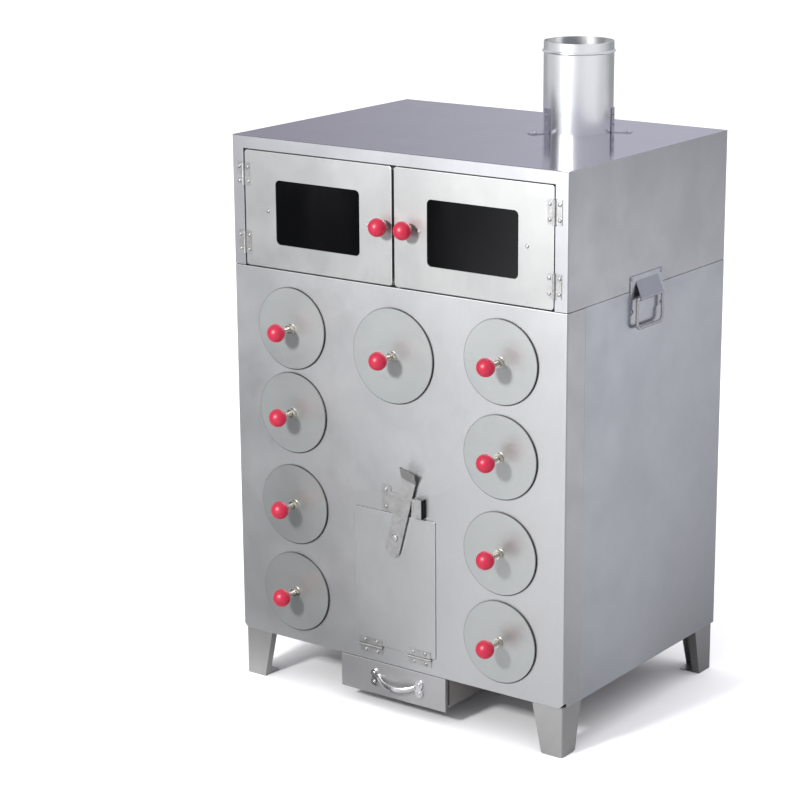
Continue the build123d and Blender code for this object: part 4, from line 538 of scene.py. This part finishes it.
# %% Red plastic
def red_finish():
    """Satin plastic, a little cloudy and a little scuffed."""
    finish, tree, shader, where = start_finish("red_phenolic")
    cloudy = clouds(tree, where, 60.0, detail=3.0)
    scuffs = clouds(tree, where, 420.0, (1, 1, 0.25), detail=4.0, roughness=0.7)
    plastic = tint(tree, cloudy, (0.30, 0.005, 0.024), (0.40, 0.010, 0.040))
    tree.links.new(plastic, shader.inputs["Base Color"])
    tree.links.new(spread(tree, scuffs, 0.40, 0.52, 0.45, 0.75), shader.inputs["Roughness"])
    tree.links.new(relief(tree, cloudy, 0.02 * MM), shader.inputs["Normal"])
    shader.inputs["Specular IOR Level"].default_value = 0.3
    shader.inputs["Coat Weight"].default_value = 0.08
    shader.inputs["Coat Roughness"].default_value = 0.25
    print("plastic:", finish.name)
    return finish


red = red_finish()

# %% The balls
RIM = 0.5 * MM
BORE_RADIUS = 4.05 * MM
MOULD_LINE = 0.10 * MM
MOULD_LINE_HALF = 0.045    # half its width, as an angle from the ball's middle
ROUND_STARTS = 0.36        # angle from the ball's back, past the edge of its flat
BALL_RINGS = 40
DRAWER_BORE = 12 * MM      # how deep the hole in a ball is
DOOR_BORE = 8 * MM


def ball_outline(bore_deep):
    """From the bottom of the bore, over the rim and the flat, round to the ball's front."""
    flat_radius = (BALL_RADIUS ** 2 - BALL_FLAT ** 2) ** 0.5
    points = [(0, bore_deep - BALL_FLAT), (BORE_RADIUS, bore_deep - BALL_FLAT)]
    points += [(BORE_RADIUS, RIM / 2 - BALL_FLAT), (BORE_RADIUS + RIM / 4, -BALL_FLAT)]
    points += [(flat_radius, -BALL_FLAT)]
    start = -pi / 2 + ROUND_STARTS
    for ring in range(1, BALL_RINGS + 1):
        angle = start + (pi / 2 - start) * ring / BALL_RINGS
        ridge = MOULD_LINE if abs(angle) < MOULD_LINE_HALF else 0.0
        radius = BALL_RADIUS - MOULD_LINE + ridge
        points.append((radius * cos(angle), radius * sin(angle)))
    points[-1] = (0, BALL_RADIUS - MOULD_LINE)
    return points


for name, (x, z, radius) in drawers.items():
    ball = turned(f"{name}_ball", ball_outline(DRAWER_BORE), (x, FRONT - DRAWER_BALL_OUT, z))
    ball.data.materials.append(red)
    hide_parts(f"{name}_knob")
    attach(ball, f"{name}_body")
print("drawer balls:", len(drawers))

# %% [markdown]
# The two balls on the cabinet doors stand close to the sheet, on a plated collar, and a
# screw from inside the door holds each. The collar is turned like the ball, with a groove
# left by the cutting tool.

# %% The doors' balls and collars
COLLAR_RADIUS = 6.5 * MM
COLLAR_BORE = 2.55 * MM
COLLAR_LONG = DOOR_BALL_OUT - BALL_FLAT
CHAMFER = 0.4 * MM


def collar_outline():
    """From the collar's bore at the sheet, over its grooved rim, to its bore at the ball."""
    groove = COLLAR_RADIUS - 0.5 * MM
    middle = COLLAR_LONG / 2
    return [
        (COLLAR_BORE, 0.0), (COLLAR_RADIUS - CHAMFER, 0.0), (COLLAR_RADIUS, CHAMFER),
        (COLLAR_RADIUS, middle - CHAMFER), (groove, middle), (COLLAR_RADIUS, middle + CHAMFER),
        (COLLAR_RADIUS, COLLAR_LONG - CHAMFER), (COLLAR_RADIUS - CHAMFER, COLLAR_LONG),
        (COLLAR_BORE, COLLAR_LONG),
    ]


for door, x in DOOR_BALLS.items():
    z = LEG_HEIGHT + DOOR_BALL_UP
    ball = turned(f"{door}_ball", ball_outline(DOOR_BORE), (x, FRONT - DOOR_BALL_OUT, z))
    ball.data.materials.append(red)
    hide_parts(f"{door}_knob")
    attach(ball, door)
    collar = turned(f"{door}_collar", collar_outline(), (x, FRONT, z), steps=48)
    collar.data.materials.append(screw_zinc)
    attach(collar, door)
print("door balls:", len(DOOR_BALLS))

# %% [markdown]
# ## Screw heads
# The screws are small pan heads with a cross recess for the driver. The CAD model has them
# as plain round heads on threaded shanks. Modelling each by hand would be slow, and a
# painted cross would look flat from the side.
# So the script looks for the screws itself: a loose piece of a part that is as wide as a
# head and round is a screw. It then caps each with a head whose cross is real shape, pushed
# down into a fine grid of rings.

# %% Find the screws
HEAD_RADIUS = 3.1 * MM
HEAD_ABOUT = 0.12 * MM
HEAD_RIM = 0.8             # share of the radius beyond which a point is on the head's rim


def loose_pieces(part):
    """The part's loose pieces, each a list of points."""
    shape = bmesh.new()
    shape.from_mesh(part.data)
    bmesh.ops.remove_doubles(shape, verts=shape.verts, dist=0.001 * MM)
    shape.verts.ensure_lookup_table()
    seen = [False] * len(shape.verts)
    pieces = []
    for first in range(len(seen)):
        if seen[first]:
            continue
        seen[first] = True
        waiting, piece = [shape.verts[first]], []
        while waiting:
            vert = waiting.pop()
            piece.append(vert.co.copy())
            for edge in vert.link_edges:
                other = edge.other_vert(vert)
                if not seen[other.index]:
                    seen[other.index] = True
                    waiting.append(other)
        pieces.append(piece)
    shape.free()
    return pieces


def screw_heads(part):
    """(middle of the head's top, direction it faces) for every screw among the loose pieces."""
    heads = []
    rim_squared = (HEAD_RIM * HEAD_RADIUS) ** 2
    for piece in loose_pieces(part):
        low = Vector([min(point[axis] for point in piece) for axis in range(3)])
        high = Vector([max(point[axis] for point in piece) for axis in range(3)])
        size, middle = high - low, (high + low) / 2
        across = [axis for axis in range(3) if abs(size[axis] - 2 * HEAD_RADIUS) < HEAD_ABOUT]
        if len(across) != 2:
            continue
        along = 3 - sum(across)
        wide = []
        for point in piece:
            if sum((point[axis] - middle[axis]) ** 2 for axis in across) > rim_squared:
                wide.append(point[along])
        sign = 1 if sum(wide) / len(wide) > middle[along] else -1
        outwards = Vector((0, 0, 0))
        outwards[along] = sign
        top = middle.copy()
        top[along] = high[along] if sign > 0 else low[along]
        heads.append((top, outwards))
    return heads


# %% Cap them
HEAD_TALL = 1.5 * MM       # as in the CAD model
HEAD_ROUND = 1.05 * MM
CAP_OVER = 0.02 * MM       # cap outside the CAD head
CAP_RISE = 0.55 * MM       # cap's crown above it
CROSS_DEEP = 0.5 * MM
CROSS_LONG = 1.75 * MM     # middle to the end of an arm
CROSS_WIDE = 0.42 * MM     # half an arm's width
CROSS_SLOPE = 0.1 * MM     # how soft an arm's sides are
CROSS_END = 0.2 * MM       # and its ends
SPIN = 0.7                 # turn of each screw's cross against the one before, in radians
CAP_RINGS = 18
CAP_STEPS = 64


def share(value):
    """The value, kept between 0 and 1."""
    return min(1.0, max(0.0, value))


def cap_height(x, y, radius):
    """Crown of the cap over the CAD head's top, with the cross pushed in."""
    gap = (x * x + y * y) ** 0.5 / radius
    into_round = min(HEAD_ROUND, max(0.0, gap * radius - HEAD_RADIUS + HEAD_ROUND))
    fall = HEAD_ROUND - (HEAD_ROUND ** 2 - into_round ** 2) ** 0.5
    crown = CAP_RISE * (1 - gap * gap) + CAP_OVER - fall
    arm_x = share((CROSS_WIDE - abs(y)) / CROSS_SLOPE) * share((CROSS_LONG - abs(x)) / CROSS_END)
    arm_y = share((CROSS_WIDE - abs(x)) / CROSS_SLOPE) * share((CROSS_LONG - abs(y)) / CROSS_END)
    return crown - CROSS_DEEP * max(arm_x, arm_y)


def add_cap(shape, top, outwards, spin):
    """One pan head over a CAD head, its cross turned by spin."""
    turn = outwards.to_track_quat("Z", "Y").to_matrix()
    radius = HEAD_RADIUS + CAP_OVER

    def point(x, y, z):
        return shape.verts.new(top + turn @ Vector((x, y, z)))

    rings = [[point(0, 0, cap_height(0, 0, radius))]]
    for ring in range(1, CAP_RINGS + 1):
        away = radius * ring / CAP_RINGS
        row = []
        for step in range(CAP_STEPS):
            angle = 2 * pi * step / CAP_STEPS
            x, y = away * cos(angle), away * sin(angle)
            spun_x, spun_y = x * cos(spin) - y * sin(spin), x * sin(spin) + y * cos(spin)
            row.append(point(spun_x, spun_y, cap_height(x, y, radius)))
        rings.append(row)
    angles = [2 * pi * step / CAP_STEPS + spin for step in range(CAP_STEPS)]
    rings.append([point(radius * cos(angle), radius * sin(angle), -HEAD_TALL) for angle in angles])
    for near, far in zip(rings, rings[1:]):
        for step in range(CAP_STEPS):
            after = (step + 1) % CAP_STEPS
            corners = [
                near[step % len(near)], far[step], far[after], near[after % len(near)],
            ]
            shape.faces.new(list(dict.fromkeys(corners)))


SCREWED = {
    "panel_screws": "oven",
    "left_door_glass_clips": "left_door",
    "right_door_glass_clips": "right_door",
    "left_door_hinges": "left_door",
    "right_door_hinges": "right_door",
    "fire_door_hinges": "fire_door_body",
}
for name, body in SCREWED.items():
    caps = bmesh.new()
    heads = screw_heads(parts[name])
    for count, (top, outwards) in enumerate(heads):
        add_cap(caps, top, outwards, spin=SPIN * count)
    if heads:
        piece = shaped(f"{name}_heads", caps)
        piece.data.materials.append(screw_zinc)
        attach(piece, body)
    print(name, "screws:", len(heads))

# %% [markdown]
# ## Stage, light and camera
# Bare metal looks like whatever it mirrors, so an even pale room would leave it flat. A
# real workshop has dark and pale things all round. They could be modelled as boards, but
# boards get into view and throw shadows.
# So they are painted instead. The room is dimmer in some directions, and a second floor that
# only reflections see is dark and pale by heading. The floor under it, the one the camera
# sees, stays plain. The headings were set for the view from the front right, and from other
# sides the steel has other tones.

# %% The room
HORIZON = (0.56, 0.55, 0.65)
ZENITH = (0.92, 0.92, 0.96)
ZENITH_FROM = 0.8                   # height, of 1 straight up, where the upper colour is full
# Headings are in degrees, 0 to the front and 90 to the right. A band's inner level lies
# between its two middle headings.
DIM_SCREEN = 0.25                   # what is left of the light from the front left
SCREEN_BAND = (-75, -60, -37.5, -34.5)
DIM_CORNER = 0.66                   # and from the back left corner
CORNER_BAND = (-149, -140.5, -138, -120)


def heading_of(tree, x, y, start=(0.0, 0.0)):
    """Heading of a place seen from start, in degrees: 0 to the front, 90 to the right."""
    across = sum_of(tree, x, start[0], "SUBTRACT")
    ahead = sum_of(tree, sum_of(tree, y, start[1], "SUBTRACT"), -1.0, "MULTIPLY")
    return sum_of(tree, sum_of(tree, across, ahead, "ARCTAN2"), 180 / pi, "MULTIPLY")


def band(tree, heading, inside, outside, edges):
    """inside between the two middle headings, outside beyond the outer two, soft between."""
    rise = spread(tree, heading, outside, inside, edges[0], edges[1])
    fall = spread(tree, heading, inside, outside, edges[2], edges[3])
    return sum_of(tree, rise, fall, "MAXIMUM" if inside < outside else "MINIMUM")


room = bpy.data.worlds.new("pale_room")
bpy.context.scene.world = room
room.use_nodes = True
sky = room.node_tree
backdrop = sky.nodes["Background"]
looked_at = axes(sky, sky.nodes.new("ShaderNodeTexCoord").outputs["Generated"])
height = spread(sky, looked_at["Z"], 0, 1, 0.0, ZENITH_FROM)
sky.links.new(tint(sky, height, HORIZON, ZENITH), backdrop.inputs["Color"])
around = heading_of(sky, looked_at["X"], looked_at["Y"])
screen = band(sky, around, DIM_SCREEN, 1.0, SCREEN_BAND)
corner = band(sky, around, DIM_CORNER, 1.0, CORNER_BAND)
sky.links.new(sum_of(sky, screen, corner, "MULTIPLY"), backdrop.inputs["Strength"])
print("room:", room.name, "dim bands:", SCREEN_BAND, CORNER_BAND)

# %% The floor, and the one that is mirrored
FLOOR_HALF = 60.0
MIRRORED_UP = 0.4 * MM              # the mirrored floor over the plain one
SIDE = 325 * MM                     # the body's right side
SCREEN_FOOT = (-85, -62, -34.9, -29.5)  # headings from the front's middle
BACK_PATCH = (112, 134, 147, 160)   # headings from the side's middle
FAR = 5.85                          # only the flue mirrors what is further out than this
SEAM = (8, 32, 36, 58)              # headings from the flue


def floor_sheet(title, height):
    """A wide flat sheet of matt paint, and its graph. The caller gives it its colour."""
    mesh = bpy.data.meshes.new(title)
    corners = ((-1, -1), (1, -1), (1, 1), (-1, 1))
    points = [(FLOOR_HALF * x, FLOOR_HALF * y, height) for x, y in corners]
    mesh.from_pydata(points, [], [(0, 1, 2, 3)])
    sheet = bpy.data.objects.new(title, mesh)
    bpy.context.scene.collection.objects.link(sheet)
    paint, tree, shader, where = start_finish(f"{title}_paint")
    shader.inputs["Roughness"].default_value = 0.9
    mesh.materials.append(paint)
    print("floor:", title)
    return sheet, tree, shader, where


def crossed(tree, value, over, under):
    """over as far as the value says, and under for the rest."""
    rest = sum_of(tree, 1.0, value, "SUBTRACT")
    return sum_of(
        tree, sum_of(tree, over, value, "MULTIPLY"), sum_of(tree, under, rest, "MULTIPLY")
    )


def near_floor(tree, x, y):
    """Close by: a dark screen's foot to the front left, dim behind, and pale elsewhere."""
    from_front = heading_of(tree, x, y, (0.0, FRONT))
    screen_foot = band(tree, from_front, 0.03, 0.66, SCREEN_FOOT)
    to_right = spread(tree, from_front, 1.0, 0.74, -25, 5)
    front = sum_of(tree, screen_foot, to_right, "MULTIPLY")
    from_side = heading_of(tree, x, y, (SIDE, 0.0))
    back_right = sum_of(
        tree, band(tree, from_side, 1.0, 0.30, BACK_PATCH),
        spread(tree, y, 0.50, 1.0, 0.2, 2.8), "MULTIPLY",
    )
    back_left = spread(tree, x, 0.60, 0.30, -0.6, 0.3)
    back = sum_of(tree, back_right, back_left, "MAXIMUM")
    return crossed(tree, spread(tree, y, 0.0, 1.0, -0.3, 0.3), back, front)


def far_floor(tree, x, y):
    """Further out: pale in front with one soft seam, and dim to the sides."""
    flue_low, flue_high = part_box("flue_pipe")
    flue_middle = (flue_low + flue_high) / 2
    from_flue = heading_of(tree, x, y, (flue_middle.x, flue_middle.y))
    to_left = spread(tree, from_flue, 0.26, 0.82, -100, -40)
    to_right = spread(tree, from_flue, 0.98, 0.22, 80, 138)
    sides = sum_of(tree, to_left, to_right, "MINIMUM")
    return sum_of(tree, sides, band(tree, from_flue, 0.17, 0.0, SEAM), "SUBTRACT")


def pale_by_place(tree, where):
    """How pale each place of the mirrored floor is, from 0 to 1."""
    placed = axes(tree, where)
    x, y = placed["X"], placed["Y"]
    squares = sum_of(tree, sum_of(tree, x, x, "MULTIPLY"), sum_of(tree, y, y, "MULTIPLY"))
    reach = sum_of(tree, squares, 0.5, "POWER")
    is_far = spread(tree, reach, 0.0, 1.0, FAR - 0.2, FAR + 0.2)
    return crossed(tree, is_far, far_floor(tree, x, y), near_floor(tree, x, y))


floor, tree, shader, where = floor_sheet("floor", 0.0)
plain = tint(tree, clouds(tree, where, 3.0), (0.87, 0.87, 0.87), (0.89, 0.89, 0.89))
tree.links.new(plain, shader.inputs["Base Color"])
floor.visible_glossy = False

mirrored, tree, shader, where = floor_sheet("mirrored_floor", MIRRORED_UP)
greyed = tint(tree, pale_by_place(tree, where), (0, 0, 0), (1, 1, 1))
tree.links.new(greyed, shader.inputs["Base Color"])
for kind in ("camera", "diffuse", "shadow", "transmission", "volume_scatter"):
    setattr(mirrored, f"visible_{kind}", False)

# %% [markdown]
# There are three lights. A square key from the front and above makes the soft shadows. The
# sheen, in the same place, lights only gloss, so that the steel can be bright without
# bleaching the floor. A wide sun overhead lifts the floor and the plastic, and the metal
# doesn't mirror it.

# %% Lights
OVEN_MIDDLE = Vector((0, 0, 0.5))
KEY_SIDE = (-0.08, -0.87, 0.41)     # where the key stands, seen from the oven's middle
KEY_AWAY = 3.0
KEY_SIZE = 0.35
KEY_WATTS = 75
SHEEN_WATTS = 106
OVERHEAD_STRENGTH = 2.0
OVERHEAD_WIDTH = radians(100)


def soft_light(title, towards, distance, size, watts):
    """A square soft light, `distance` metres from the oven's middle, that faces it."""
    lamp = bpy.data.lights.new(title, "AREA")
    lamp.size = size
    lamp.energy = watts
    holder = bpy.data.objects.new(title, lamp)
    direction = Vector(towards).normalized()
    holder.location = OVEN_MIDDLE + direction * distance
    holder.rotation_mode = "QUATERNION"
    holder.rotation_quaternion = direction.to_track_quat("Z", "Y")
    holder.visible_camera = False
    bpy.context.scene.collection.objects.link(holder)
    print("light:", title, [round(v, 2) for v in holder.location])
    return holder


soft_light("key", KEY_SIDE, KEY_AWAY, KEY_SIZE, KEY_WATTS)
sheen = soft_light("sheen", KEY_SIDE, KEY_AWAY, KEY_SIZE, SHEEN_WATTS)
sheen.visible_diffuse = False

overhead = bpy.data.lights.new("overhead", "SUN")
overhead.energy = OVERHEAD_STRENGTH
overhead.angle = OVERHEAD_WIDTH
overhead_holder = bpy.data.objects.new("overhead", overhead)
overhead_holder.location = (0, 0, 3)
overhead_holder.visible_glossy = False
bpy.context.scene.collection.objects.link(overhead_holder)
print("light: overhead, straight down")

# %% Camera
CAMERA_PLACE = (2.1851, -3.1657, 1.5409)
CAMERA_RIGHT = Vector((0.8064, 0.5913, -0.0070))
CAMERA_UP = Vector((-0.1502, 0.2162, 0.9647))
LENS = 107.12                       # millimetres, on a sensor of SENSOR
SENSOR = 36.0
camera_data = bpy.data.cameras.new("camera")
camera_data.lens = LENS
camera_data.sensor_width = SENSOR
camera = bpy.data.objects.new("camera", camera_data)
bpy.context.scene.collection.objects.link(camera)
backwards = CAMERA_RIGHT.cross(CAMERA_UP)
turn = Matrix((CAMERA_RIGHT, CAMERA_UP, backwards)).transposed().to_4x4()
camera.matrix_world = Matrix.Translation(CAMERA_PLACE) @ turn
bpy.context.scene.camera = camera
bpy.context.scene.view_settings.view_transform = "Standard"
print("camera:", CAMERA_PLACE, "lens:", LENS)
